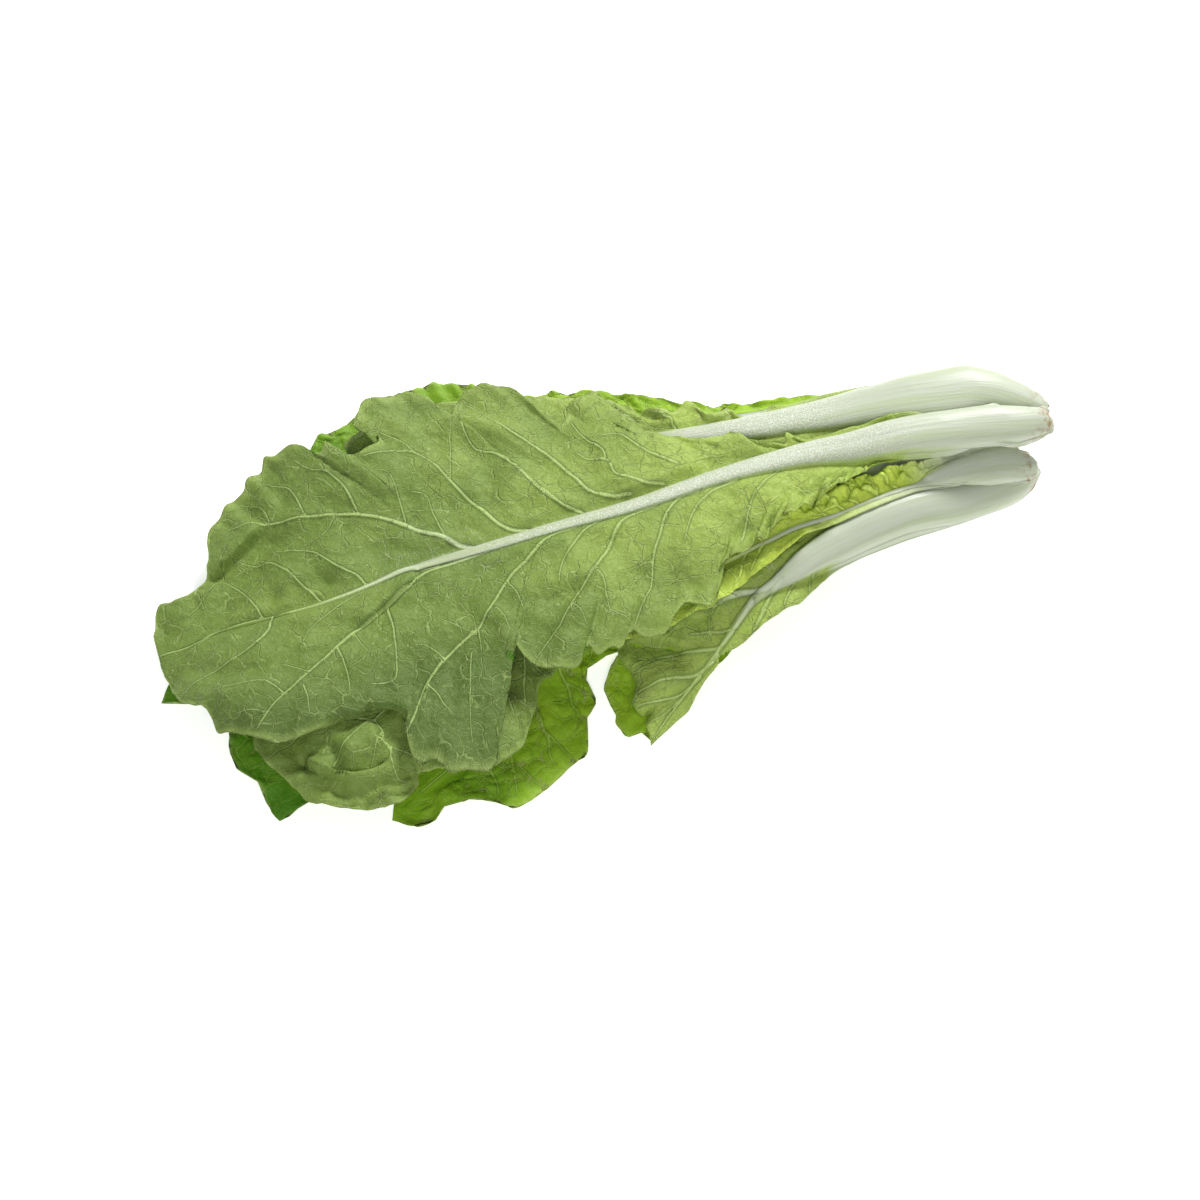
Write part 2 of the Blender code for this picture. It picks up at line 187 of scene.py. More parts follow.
def cells(x, y, seed):
    """Distance to the nearest wall of a random mosaic, below 0 on one side of each wall."""
    rng = np.random.default_rng(seed)
    jitter = rng.uniform(0.1, 0.9, (REPEAT, REPEAT, 2))
    worth = rng.uniform(0, 1, (REPEAT, REPEAT))
    i, j = np.floor(x).astype(int), np.floor(y).astype(int)
    near = [np.full(x.shape, 9.0) for _ in range(2)]
    place = [np.zeros((*x.shape, 2)) for _ in range(2)]
    label = [np.zeros(x.shape) for _ in range(2)]
    here = np.stack([x, y], axis=-1)
    for di, dj in AROUND:
        a, b = (i + di) % REPEAT, (j + dj) % REPEAT
        seed_at = np.stack([i + di, j + dj], axis=-1) + jitter[a, b]
        d = np.linalg.norm(seed_at - here, axis=-1)
        first, second = d < near[0], (d >= near[0]) & (d < near[1])
        firsts, seconds = first[..., None], second[..., None]
        for old, new, one, two in (
            (near, d, first, second),
            (label, worth[a, b], first, second),
            (place, seed_at, firsts, seconds),
        ):
            old[1] = np.where(one, old[0], np.where(two, new, old[1]))
            old[0] = np.where(one, new, old[0])
    way = unit(place[1] - place[0])
    wall = (((place[0] + place[1]) / 2 - here) * way).sum(axis=-1)
    return wall * np.where(label[0] < label[1], 1, -1)


# ---------------------------------------------------------------- maps over the plan


class Map:
    """Numbers over the plan, on a grid of square cells."""

    def __init__(self, cell):
        self.cell = cell
        self.value = np.zeros(np.ceil(SIZE / cell).astype(int) + 1)

    def at(self, plan):
        """Value between the cells' middles."""
        g = (plan - LOW) / self.cell - 0.5
        g = np.clip(g, 0, np.array(self.value.shape) - 1.001)
        i = np.floor(g).astype(int)
        f = g - i
        v = self.value
        a, b = i[..., 0], i[..., 1]
        p, q = f[..., 0], f[..., 1]
        low = v[a, b] * (1 - p) + v[a + 1, b] * p
        high = v[a, b + 1] * (1 - p) + v[a + 1, b + 1] * p
        return low * (1 - q) + high * q

    def indices(self, plan):
        i = np.floor((plan - LOW) / self.cell).astype(int)
        return np.clip(i, 1, np.array(self.value.shape) - 2)


def neighbours(value):
    p = np.pad(value, 1, mode="edge")
    return p[:-2, 1:-1] + p[2:, 1:-1] + p[1:-1, :-2] + p[1:-1, 2:]


def softened(value, rounds):
    for _ in range(rounds):
        value = 0.5 * value + 0.125 * neighbours(value)
    return value


def node_triangles(node):
    """Corners of a CAD node's triangles in the plan's millimetres, and which way each faces."""
    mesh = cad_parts[node].data
    mesh.calc_loop_triangles()
    points = np.empty(len(mesh.vertices) * 3)
    mesh.vertices.foreach_get("co", points)
    corners = np.empty(len(mesh.loop_triangles) * 3, np.int32)
    mesh.loop_triangles.foreach_get("vertices", corners)
    points = points.reshape(-1, 3)[corners.reshape(-1, 3)] / MM
    facing = unit(np.cross(points[:, 1] - points[:, 0], points[:, 2] - points[:, 0]))[:, 2]
    points[..., 0] = CUT_X - points[..., 0]
    points[..., 1] -= MIDDLE_Y
    return points, facing


def samples(corners, steps):
    """Points spread evenly over triangles."""
    a, b = np.meshgrid(np.linspace(0, 1, steps), np.linspace(0, 1, steps))
    inside = a + b <= 1 + 1e-9
    weights = np.stack([1 - a - b, a, b], axis=-1)[inside]
    return np.einsum("sk,nkc->nsc", weights, corners).reshape(-1, 3)


def node_heights(node, upper):
    """A map of the height of a CAD node's upper or lower side, carried on past its margins."""
    corners, facing = node_triangles(node)
    corners = corners[facing > LEVEL if upper else facing < -LEVEL]
    made = Map(HEIGHT_CELL)
    total = np.zeros_like(made.value)
    count = np.zeros_like(made.value)
    points = samples(corners, HEIGHT_SAMPLES)
    at = made.indices(points[:, :2])
    np.add.at(total, (at[:, 0], at[:, 1]), points[:, 2])
    np.add.at(count, (at[:, 0], at[:, 1]), 1)
    known = (count > 0).astype(float)
    value = np.where(known > 0, total / np.maximum(count, 1), 0)
    for _ in range(SPREAD):
        around, seen = neighbours(value * known), neighbours(known)
        new = (known == 0) & (seen > 0)
        value = np.where(new, around / np.maximum(seen, 1), value)
        known = np.maximum(known, new)
    made.value = softened(value, 10)
    return made


class Pile:
    """The highest point of everything laid so far."""

    def __init__(self):
        self.map = Map(PILE_CELL)

    def top(self, plan):
        i = self.map.indices(plan)
        v = self.map.value
        return np.max([v[i[..., 0] + a, i[..., 1] + b] for a, b in AROUND], axis=0)

    def raise_to(self, points):
        i = self.map.indices(points[:, :2])
        np.maximum.at(self.map.value, (i[:, 0], i[:, 1]), points[:, 2])

    def add(self, sheet):
        """Adds a grid of points, and the points halfway between them."""
        for rows in (sheet, (sheet[1:] + sheet[:-1]) / 2):
            for points in (rows, (rows[:, 1:] + rows[:, :-1]) / 2):
                self.raise_to(points.reshape(-1, 3))


# ---------------------------------------------------------------- leaves


@dataclass
class Leaf:
    """One leaf in plan. A margin is given as plan points, or as (distance along, width)."""

    name: str
    slot: str
    seed: int
    rib: np.ndarray
    stalk: float = 5.0  # half its width
    taper: tuple = LONG_TAPER
    back_up: bool = False
    far: np.ndarray = None
    near: np.ndarray = None
    far_wide: np.ndarray = None
    near_wide: np.ndarray = None
    tip: tuple = None
    thickness: float = 1.0
    heel: tuple = (0.6, 12.0, 0.5)  # its width, how far along it ends, and the power between
    rows: int = 260
    side: int = 52
    coarse: int = 4  # how many places of the upper side make one of the lower
    ruffle: float = 1.5
    period: float = 13.0
    waves: float = 1.5
    teeth: float = 0.8
    veins: tuple = ()  # (points, half width at the start, half width at the end)
    grown: float = 14.0  # between grown side veins, or 0 for none
    creases: tuple = ()  # (points, rise, its reach, dip, its reach)
    swells: tuple = ()  # (points, rise, width)
    curls: tuple = ()  # (side, margin point, reach, width, angle)
    frills: tuple = ()  # (side, margin point, reach, height, period, share across)
    fold_out: float = 0.6
    shade: tuple = (60.0, 230.0)  # where along the leaf its colour deepens
    # painted shade: how much darker the near side of the blade is made, as if it turned away from
    # the light
    near_shade: float = 0.0
    white: tuple = (0.5, 0.85)  # where along the rib its white ends
    # where along the rib painted glints are strewn
    sparkle: tuple = None


def half_width(leaf, distance, length):
    """Half the stalk's width, which narrows to the heel and rounds off at the cut."""
    share, reach, power = leaf.heel
    heel = share + (1 - share) * np.clip(distance / reach, 0, 1) ** power
    end = np.clip(distance / END_ROUNDING, 0, 1)
    rounded = 0.7 + 0.3 * np.sqrt(end * (2 - end))
    return leaf.stalk * np.interp(distance / length, *zip(*leaf.taper)) * heel * rounded


def margin_line(leaf, rib, side):
    """The margin on one side, from the foot to the tip. side is 1 for the far one."""
    along = distances(rib)
    t = tangents(rib)
    out = np.stack([-t[:, 1], t[:, 0]], axis=1) * side
    half = half_width(leaf, along, along[-1])
    wing = WING * smooth_step(along, *WING_FROM)
    given = leaf.far if side > 0 else leaf.near
    end = rib[-1] + t[-1] * leaf.stalk
    if given is None:
        share = along / along[-1]
        widths = leaf.far_wide if side > 0 else leaf.near_wide
        wide = np.interp(along, *zip(*widths), left=0.0)
        round_off = np.sqrt(1 - 0.8 * smooth_step(share, 0.75, 1.0) ** 2)
        wide = (half + np.maximum(wide, wing)) * round_off
        end = rib[-1] + t[-1] * 0.6 * wide[-1]
        points = resampled(rib + out * wide[:, None], step=4.0)
    else:
        nearest = np.linalg.norm(rib - given[0], axis=1).argmin()
        bare = (rib + out * (half + wing)[:, None])[: max(nearest - 8, 2)]
        points = np.vstack([resampled(bare, step=6.0), given])
    tip = end if leaf.tip is None else leaf.tip
    return smooth_line(np.vstack([points, [tip]]))


def section_roots(rib, margin):
    """How far along the rib each margin point's section starts."""
    along = distances(rib)
    gap = np.linalg.norm(margin[:, None] - rib[None], axis=2)
    nearest, away = gap.argmin(axis=1), gap.min(axis=1)
    root = np.clip(along[nearest] - FORWARD * away, 0, along[-1])
    root = np.maximum.accumulate(running_mean(root, 15))
    steady = np.linspace(0, along[-1], len(root))
    root = 0.85 * root + 0.15 * steady
    low, high = root[0], root[-1]
    return (root - low) / (high - low) * along[-1]


def near_point(line, point, arc, reach):
    """1 at the place on the margin nearest a point, and 0 past the reach along it."""
    centre = distances(line)[np.linalg.norm(line - point, axis=1).argmin()]
    return smooth_step(1 - np.abs(arc - centre) / reach, 0, 0.6)


def curled(leaf, side, line, arc, wide, offset):
    """(offset, height) of each place once parts of the margin are rolled up or down."""
    height = np.zeros_like(offset)
    for which, point, reach, width, angle in leaf.curls:
        if which != side:
            continue
        fade = near_point(line, point, arc, reach)
        start = wide - width
        into = np.clip((offset - start[:, None]) / width, 0, None)
        turn = np.maximum(np.abs(angle) * fade, 1e-3)[:, None]
        radius = width / turn
        rolled = start[:, None] + radius * np.sin(into * turn)
        offset = np.where(into > 0, rolled, offset)
        height += np.where(into > 0, np.sign(angle) * radius * (1 - np.cos(into * turn)), 0)
    return offset, height


def leaf_plan(leaf):
    """The leaf's grid in plan, and what the rest of its shape is worked out from."""
    rib = smooth_line(leaf.rib)
    along = distances(rib)
    length = along[-1]
    margins = {side: margin_line(leaf, rib, side) for side in SIDES}
    roots = {side: section_roots(rib, margins[side]) for side in SIDES}
    # The rows share out the rib's length and the margins' lengths.
    fine = np.linspace(0, length, 3000)
    arcs = {side: np.interp(fine, roots[side], distances(margins[side])) for side in SIDES}
    cost = 0.5 * fine + 0.25 * (arcs[1] + arcs[-1])
    place = np.interp(np.linspace(cost[0], cost[-1], leaf.rows + 1), cost, fine)
    centre = looked_up(place, along, rib)
    direction = looked_up(place, along, tangents(rib))
    half = half_width(leaf, place, length)
    on_stalk = max(leaf.side // 5, 6)
    stalk_shares = np.sin(np.linspace(0, np.pi / 2, on_stalk + 1))
    blade_shares = np.linspace(0, 1, leaf.side - on_stalk + 1)[1:]
    noise = Noise(leaf.seed + 40)
    parts = {}
    for side in SIDES:
        edge = looked_up(place, roots[side], margins[side])
        arc = np.interp(place, roots[side], distances(margins[side]))
        reach = edge - centre
        wide = np.linalg.norm(reach, axis=1)
        way = unit(reach, 1e-6)
        blade_here = smooth_step(wide - half, 3, 10)
        tooth = leaf.teeth * blade_here * noise.layered(arc / 6.0, side * 5.0, 2)
        tooth[-1] = 0
        across = np.abs(direction[:, 0] * way[:, 1] - direction[:, 1] * way[:, 0])
        wing = WING * smooth_step(place, *WING_FROM)
        wide = np.maximum(wide + tooth, (half + wing) / np.clip(across, 0.6, 1))
        inner = np.minimum(half / np.clip(across, 0.35, 1), 0.92 * wide)[:, None]
        outer = inner + (wide[:, None] - inner) * blade_shares
        offset = np.concatenate([inner * stalk_shares, outer], axis=1)
        rolled, height = curled(leaf, side, margins[side], arc, wide, offset)
        ones = np.ones_like(offset)
        parts[side] = dict(
            flat=centre[:, None] + way[:, None] * offset[..., None],
            plan=centre[:, None] + way[:, None] * rolled[..., None],
            rolled=height,
            away=offset * across[:, None],
            share=offset / np.maximum(wide, 1e-6)[:, None],
            arc=arc[:, None] * ones,
            wide=wide[:, None] * ones,
        )

    def both(name):
        far, near = parts[1][name], parts[-1][name]
        return np.concatenate([near[:, ::-1], far[:, 1:]], axis=1)

    grid = {name: both(name) for name in parts[1]}
    count = 2 * leaf.side + 1
    grid["along"] = np.repeat(place[:, None], count, axis=1)
    grid["half"] = np.repeat(half[:, None], count, axis=1)
    grid["side"] = np.sign(np.arange(count) - leaf.side) + 0 * grid["away"]
    grid["rib"], grid["length"], grid["margins"] = rib, length, margins
    return grid


def line_field(plan, points, reach):
    """For the places within reach of a smooth line: numbers, distance, share along it and side."""
    line = smooth_line(points, VEIN_STEP)
    low, high = line.min(axis=0) - reach, line.max(axis=0) + reach
    inside = np.nonzero(((plan > low) & (plan < high)).all(axis=1))[0]
    p = plan[inside]
    best = np.full(len(p), np.inf)
    share, turn = np.zeros(len(p)), np.zeros(len(p))
    total = len(line) - 1
    for k, (a, b) in enumerate(zip(line[:-1], line[1:])):
        way = b - a
        size = max(float(way @ way), 1e-9)
        t = np.clip(((p - a) @ way) / size, 0, 1)
        off = p - a - t[:, None] * way
        d = np.hypot(off[:, 0], off[:, 1])
        closer = d < best
        best = np.where(closer, d, best)
        share = np.where(closer, (k + t) / total, share)
        turn = np.where(closer, np.sign(way[0] * (p - a)[:, 1] - way[1] * (p - a)[:, 0]), turn)
    keep = best < reach
    return inside[keep], best[keep], share[keep], turn[keep]


def grown_veins(leaf, grid, rng):
    """Side veins that leave the rib at regular places and bend forward to the margin."""
    rows, middle = len(grid["away"]), leaf.side
    found = []
    for side in SIDES:
        edge = grid["wide"][:, middle + side * leaf.side] - grid["half"][:, middle]
        at = grid["along"][:, middle]
        place = rng.uniform(0.2, 0.9) * leaf.grown
        while place < 0.94 * grid["length"]:
            row = int(np.searchsorted(at, place))
            if edge[min(row, rows - 1)] > LEAST_BLADE:
                reach = rng.uniform(0.72, 0.93)
                drift = rng.uniform(0.0, 0.035) * rows
                steps = np.linspace(0, reach, 9)
                r = np.clip(row + drift * (steps / reach) ** 1.6, 0, rows - 1)
                r += rng.normal(0, 0.004 * rows, len(steps)) * steps
                c = middle + side * steps * leaf.side
                i, j = np.clip(r, 0, rows - 1).astype(int), np.round(c).astype(int)
                line = grid["flat"][i, j]
                found.append((line, *SIDE_VEIN_HALF))
                for k in rng.permutation([2, 3, 4, 5])[: 1 + int(edge[row] > 16)]:
                    way = line[k + 2] - line[k]
                    turn = rng.choice([-1, 1]) * rng.uniform(0.5, 0.9)
                    cos, sin = np.cos(turn), np.sin(turn)
                    spin = np.array([[cos, -sin], [sin, cos]])
                    branch = [line[k], line[k] + spin @ way, line[k] + 1.9 * spin @ way]
                    found.append((branch, *TWIG_HALF))
            place += leaf.grown * rng.uniform(0.8, 1.25)
    return found


def vein_fields(leaf, grid, flat):
    """For every place: the height of the vein ridges, the distance to the nearest vein, below 0
    on one side of it, that vein's half width, and the distance again with no sign."""
    ridge = np.zeros(len(flat))
    gap = np.full(len(flat), NO_VEIN)
    signed = np.full(len(flat), FAR_FROM_VEIN)
    width = np.full(len(flat), 0.3)
    rng = np.random.default_rng(leaf.seed)
    veins = list(leaf.veins)
    rib, along = grid["rib"], distances(grid["rib"])
    if leaf.grown:
        veins += grown_veins(leaf, grid, rng)
        late = rib[along > 0.45 * along[-1]]
        veins.append((resampled(late, step=8.0), *MIDRIB_HALF))
    for points, start, end in veins:
        inside, d, share, turn = line_field(flat, points, VEIN_REACH)
        if not len(inside):
            continue
        half = start + (end - start) * share
        rounded = np.maximum(1.15 * half, 0.75)
        shape = np.clip(1 - (d / rounded) ** 2, 0, 1)
        ridge[inside] = np.maximum(ridge[inside], 0.75 * half * shape)
        closer = d < gap[inside]
        which = inside[closer]
        signed[which] = (d * np.where(turn < 0, -1, 1))[closer]
        width[which] = half[closer]
        gap[inside] = np.minimum(gap[inside], d)
    return ridge, signed, width, gap


def crease_relief(leaf, flat):
    """Steps in the sheet: one side of a line is raised and the other dips."""
    total = np.zeros(len(flat))
    for points, rise, reach, dip, dip_reach in leaf.creases:
        inside, d, share, turn = line_field(flat, points, 3 * max(reach, dip_reach))
        signed = d * turn
        up = rise * smooth_step(signed, -0.4, 0.9) * np.exp(-np.maximum(signed, 0) / reach)
        down = dip * smooth_step(-signed, -0.4, 0.9) * np.exp(-np.maximum(-signed, 0) / dip_reach)
        total[inside] += faded_ends(share, 0.2) * (up - down)
    return total


def swell_relief(leaf, flat):
    """Soft ridges and valleys along lines."""
    total = np.zeros(len(flat))
    for points, rise, width in leaf.swells:
        inside, d, share, _ = line_field(flat, points, 3 * width)
        total[inside] += rise * faded_ends(share, 0.25) * np.exp(-((d / width) ** 2))
    return total


def frill_relief(leaf, grid):
    """(height, shift along the margin) of extra frills on parts of the margins."""
    height = np.zeros_like(grid["away"])
    shift = np.zeros_like(grid["away"])
    blade = smooth_step(grid["away"] - grid["half"], 0.5, 4)
    for number, (side, point, reach, amplitude, period, start) in enumerate(leaf.frills):
        fade = near_point(grid["margins"][side], point, grid["arc"], reach) * blade
        fade = fade * (grid["side"] == side) * smooth_step(grid["share"], start, start + 0.5)
        noise = Noise(leaf.seed + 70 + number)
        at = grid["arc"] / period
        height += amplitude * fade * (1.2 * noise(at, 3.5 * grid["share"]) + 0.5 * noise(2 * at, 4))
        shift += 0.5 * amplitude * fade * noise(at + 5.5, 2 * grid["share"] + 7)
    return height, shift


def surface_normals(points):
    """Unit normals of a grid of points in the plan's axes, on the side that starts upwards."""
    n = unit(np.cross(np.gradient(points, axis=0), np.gradient(points, axis=1)))
    return unit(np.stack([softened(n[..., k], 2) for k in range(3)], axis=-1))


def evened(value, reach):
    """Mean over the places within reach down the rows."""
    padded = np.pad(value, [(reach, reach), (0, 0)], mode="edge")
    total = np.cumsum(np.vstack([np.zeros_like(padded[:1]), padded]), axis=0)
    return (total[2 * reach + 1 :] - total[: -2 * reach - 1]) / (2 * reach + 1)


def widest_near(value, reach, axis):
    """The largest value within reach places along an axis."""
    pads = [(0, 0), (0, 0)]
    pads[axis] = (reach, reach)
    padded = np.pad(value, pads, mode="edge")
    count = value.shape[axis]
    spans = [np.take(padded, range(k, k + count), axis=axis) for k in range(2 * reach + 1)]
    return np.max(spans, axis=0)


def lift_over(pile, plan, under, rigid):
    """How far up each place of the sheet has to go to lie clear of the pile.

    The stalk goes up as one stiff piece, and the blade follows it smoothly.
    """
    need = np.maximum(pile.top(plan) + PILE_GAP - under, 0)
    stiff = widest_near((need * rigid).max(axis=1, keepdims=True), 2 * STIFF, 0)
    stiff = running_mean(running_mean(stiff[:, 0], STIFF), STIFF)[:, None]
    wanted = np.maximum(need, stiff * rigid)
    lift = widest_near(widest_near(wanted, 2, 0), 2, 1)
    lift = softened(lift, 8)
    for _ in range(20):
        lift = np.maximum(wanted, softened(lift, 2))
    return lift


def shape_leaf(leaf, pile):
    """Grids of points for the leaf's two sides, and the shares that its material reads."""
    grid = leaf_plan(leaf)
    flat = grid["flat"].reshape(-1, 2)
    shape = grid["away"].shape
    x, y = grid["flat"][..., 0], grid["flat"][..., 1]
    noise = Noise(leaf.seed)
    base = node_heights(leaf.name, upper=not leaf.back_up).at(grid["plan"])
    base = evened(evened(base, SHOULDER), SHOULDER)
    share, away, half = grid["share"], grid["away"], grid["half"]
    blade = smooth_step(away - half, 0, 5)

    fields = [*vein_fields(leaf, grid, flat), crease_relief(leaf, flat), swell_relief(leaf, flat)]
    ridge, vein_gap, vein_half, gap, crease, swell = (v.reshape(shape) for v in fields)
    sense = 1.0 if leaf.back_up else -1.0
    hill = sum(h * noise(x / along + a, y / over + b) for h, along, over, a, b in HILLS)
    out = smooth_step(share, 0.45, 1.0)
    arc = grid["arc"] / leaf.period + 11 * grid["side"]
    frill = noise(arc, 1.2 * share + 3.7 * grid["side"])
    frill += 0.5 * noise(2.3 * arc, 2.0 * share + 9)
    extra, shift = frill_relief(leaf, grid)
    bend_x = x + 2.4 * noise(x / 9, y / 9 + 5) + 0.8 * noise(x / 3, y / 3)
    bend_y = y + 2.4 * noise(x / 9 + 5, y / 9) + 0.8 * noise(x / 3 + 4, y / 3)
    wall = cells(bend_x / CELL[0], bend_y / CELL[1], leaf.seed) * WALL_SCALE
    net_share = smooth_step(noise(x / 11 + 3, y / 11 + 8), -0.75, 0.25)
    quilt = 1.0 if leaf.back_up else QUILTED
    net = sense * NET_RIDGE * quilt * net_share * np.exp(-np.abs(wall) / 0.8)
    cusp = sense * CUSP * quilt * np.exp(-gap / 4.0)
    pillow = sense * PILLOW * (1 - smooth_step(gap, 2.0, 13.0))
    fine = BUMPS * noise.layered(x / 3.6, y / 3.6, 2)
    bend = leaf.waves * hill + leaf.ruffle * out * frill + 0.55 * cusp + pillow + net + fine
    height = base + blade * bend + crease + swell + grid["rolled"] + extra

    flesh = STALK_THICKNESS * leaf.thickness * half / leaf.stalk - BLADE_THICKNESS
    inside = np.clip(away / np.maximum(half, 0.05), 0, 1)
    body = np.maximum(flesh, 0.5 * half) * np.clip(1 - inside**2.4, 0, 1) ** 0.5
    thin = EDGE_THICKNESS + (BLADE_THICKNESS - EDGE_THICKNESS) * smooth_step(1 - share, 0, 0.1)

    push = shift + leaf.fold_out * blade * out * noise(1.7 * arc + 4, 1.5 * share)
    plan = grid["plan"] + unit(np.gradient(grid["plan"], axis=0), 1e-6) * push[..., None]
    rigid = ((away <= 1.02 * half) & (half > RIGID_FROM)).astype(float)
    depth = 0 if leaf.back_up else thin + body
    height = height + lift_over(pile, plan, height - depth, rigid)
    sheet = np.concatenate([plan, height[..., None]], axis=-1)
    normal = surface_normals(sheet)
    if leaf.back_up:
        under = sheet
        top = sheet + normal * (thin + body + blade * ridge)[..., None]
    else:
        top = sheet - normal * (0.3 * blade * ridge)[..., None]
        under = sheet - normal * (thin + body)[..., None]
    under[..., 2] = np.maximum(under[..., 2], LOWEST)
    top[..., 2] = np.maximum(top[..., 2], LOWEST + 0.25)
    pile.add(top)

    bare = 1 - smooth_step(grid["wide"] - half, 1.4, 4.0)
    bare = np.maximum(bare, 1 - smooth_step(grid["along"], *WING_FROM))
    stalk = np.maximum(1 - smooth_step(away / np.maximum(half, 0.05), 0.84, 1.06), bare)
    stalk = stalk * (1 - smooth_step(grid["along"] / grid["length"], *leaf.white))
    shade = smooth_step(grid["along"] + 0.4 * away, *leaf.shade)
    # Painted shade: the near side of the blade darkens towards its margin, as if it turned away
    # from the light.
    near_shade = leaf.near_shade * (grid["side"] < 0) * smooth_step(away, 12, 55) * shade
    shares = dict(stalk=stalk, shade=shade + near_shade)
    shares["vein_gap"] = np.clip(vein_gap, -FAR_FROM_VEIN, FAR_FROM_VEIN)
    shares["vein_half"] = vein_half
    shares["vein_near"] = 1 - smooth_step(np.abs(vein_gap), 0.65 * FAR_FROM_VEIN, FAR_FROM_VEIN)
    shares["net_gap"] = np.clip(wall, -FAR_FROM_VEIN, FAR_FROM_VEIN)
    near_wall = 1 - smooth_step(np.abs(wall), 0.6 * FAR_FROM_VEIN, FAR_FROM_VEIN)
    shares["net_near"] = net_share * near_wall * blade
    shares["heel"] = 1 - smooth_step(grid["along"], 0.0, 9.0)
    shares["edge"] = smooth_step(share, 0.93, 1.0) * blade
    # Where along the stalk the painted glints go.
    shares["sparkle"] = np.zeros(shape)
    if leaf.sparkle:
        first, last = leaf.sparkle
        into = smooth_step(grid["along"], first, first + 30)
        shares["sparkle"] = into * (1 - smooth_step(grid["along"], last - 40, last))
    flow = np.stack([away * grid["side"], grid["along"], 0 * away], axis=-1) * MM
    return top, under, shares, flow


# ---------------------------------------------------------------- meshes


def numbered(rows, side, first=0):
    """The numbers of a sheet's points. Its last row is folded shut on itself."""
    width = 2 * side + 1
    numbers = first + np.arange((rows + 1) * width).reshape(rows + 1, width)
    numbers[-1] = numbers[-1][np.minimum(np.arange(width), width - 1 - np.arange(width))]
    return numbers


def quads(n):
    corners = [n[:-1, :-1], n[1:, :-1], n[1:, 1:], n[:-1, 1:]]
    return np.stack(corners, axis=-1).reshape(-1, 4)


def sheet_faces(rows, side, coarse):
    """Faces of a closed sheet whose lower side is coarser. A triangle has its last corner twice."""
    upper = numbered(rows, side)
    lower = numbered(rows // coarse, side // coarse, first=upper.size)
    rims = []
    for up, low in (
        (upper[:, 0], lower[:, 0]),
        (upper[::-1, -1], lower[::-1, -1]),
        (upper[0, ::-1], lower[0, ::-1]),
    ):
        for k in range(len(low) - 1):
            span = up[k * coarse : (k + 1) * coarse + 1]
            for a, b in zip(span[:-1], span[1:]):
                rims.append((b, a, low[k], low[k]))
            rims.append((span[-1], low[k], low[k + 1], low[k + 1]))
    return np.concatenate([quads(upper), quads(lower)[:, ::-1], np.array(rims)])


def make_mesh(name, points, faces, shares, flow):
    """A mesh of the points that the faces use, with what its material reads."""
    three = faces[:, 2] == faces[:, 3]
    order = np.where(three, 3, 4)
    loops = faces.ravel()[np.stack([np.ones_like(three)] * 3 + [~three], axis=1).ravel()]
    used, loops = np.unique(loops, return_inverse=True)
    points = points[used]
    mesh = bpy.data.meshes.new(name)
    mesh.vertices.add(len(points))
    mesh.loops.add(len(loops))
    mesh.polygons.add(len(faces))
    mesh.vertices.foreach_set("co", points.astype(np.float32).ravel())
    mesh.loops.foreach_set("vertex_index", loops.astype(np.int32))
    starts = np.concatenate([[0], np.cumsum(order)[:-1]])
    mesh.polygons.foreach_set("loop_start", starts.astype(np.int32))
    mesh.polygons.foreach_set("use_smooth", np.ones(len(faces), bool))
    mesh.update(calc_edges=True)
    mesh.validate()
    for key, value in shares.items():
        layer = mesh.attributes.new(key, "FLOAT", "POINT")
        layer.data.foreach_set("value", value[used].astype(np.float32))
    layer = mesh.attributes.new("flow", "FLOAT_VECTOR", "POINT")
    layer.data.foreach_set("vector", flow[used].astype(np.float32).ravel())
    return mesh


def to_frame(points):
    """Points in the plan's axes, in the frame's metres."""
    x, y, z = points[..., 0], points[..., 1], points[..., 2]
    return np.stack([CUT_X - x, MIDDLE_Y + y, z], axis=-1) * MM


def build_leaf(leaf, pile, materials):
    """The leaf's piece, laid on the pile in the place of its CAD node."""
    top, under, shares, flow = shape_leaf(leaf, pile)
    step = leaf.coarse

    def listed(upper, lower):
        """Values of the upper side's points, then of the lower side's."""
        grids = (upper, lower[::step, ::step])
        return np.concatenate([grid.reshape(-1, *grid.shape[2:]) for grid in grids])

    every = {key: listed(value, value) for key, value in shares.items()}
    up = np.full(top.shape[:2], 0.0 if leaf.back_up else 1.0)
    every["face"] = listed(up, 1 - up)
    points = listed(to_frame(top), to_frame(under))
    faces = sheet_faces(leaf.rows, leaf.side, step)
    mesh = make_mesh(leaf.name + "_looks", points, faces, every, listed(flow, flow))
    obj = bpy.data.objects.new(leaf.name + "_looks", mesh)
    bpy.context.scene.collection.objects.link(obj)
    mesh.materials.append(materials[leaf.slot])
    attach(obj, "root")
    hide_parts(leaf.name)


# ---------------------------------------------------------------- materials


def linear(*srgb):
    """A socket's colour from sRGB numbers up to 255."""
    c = np.array(srgb) / 255
    c = np.where(c <= 0.04045, c / 12.92, ((c + 0.055) / 1.055) ** 2.4)
    return (*c, 1.0)


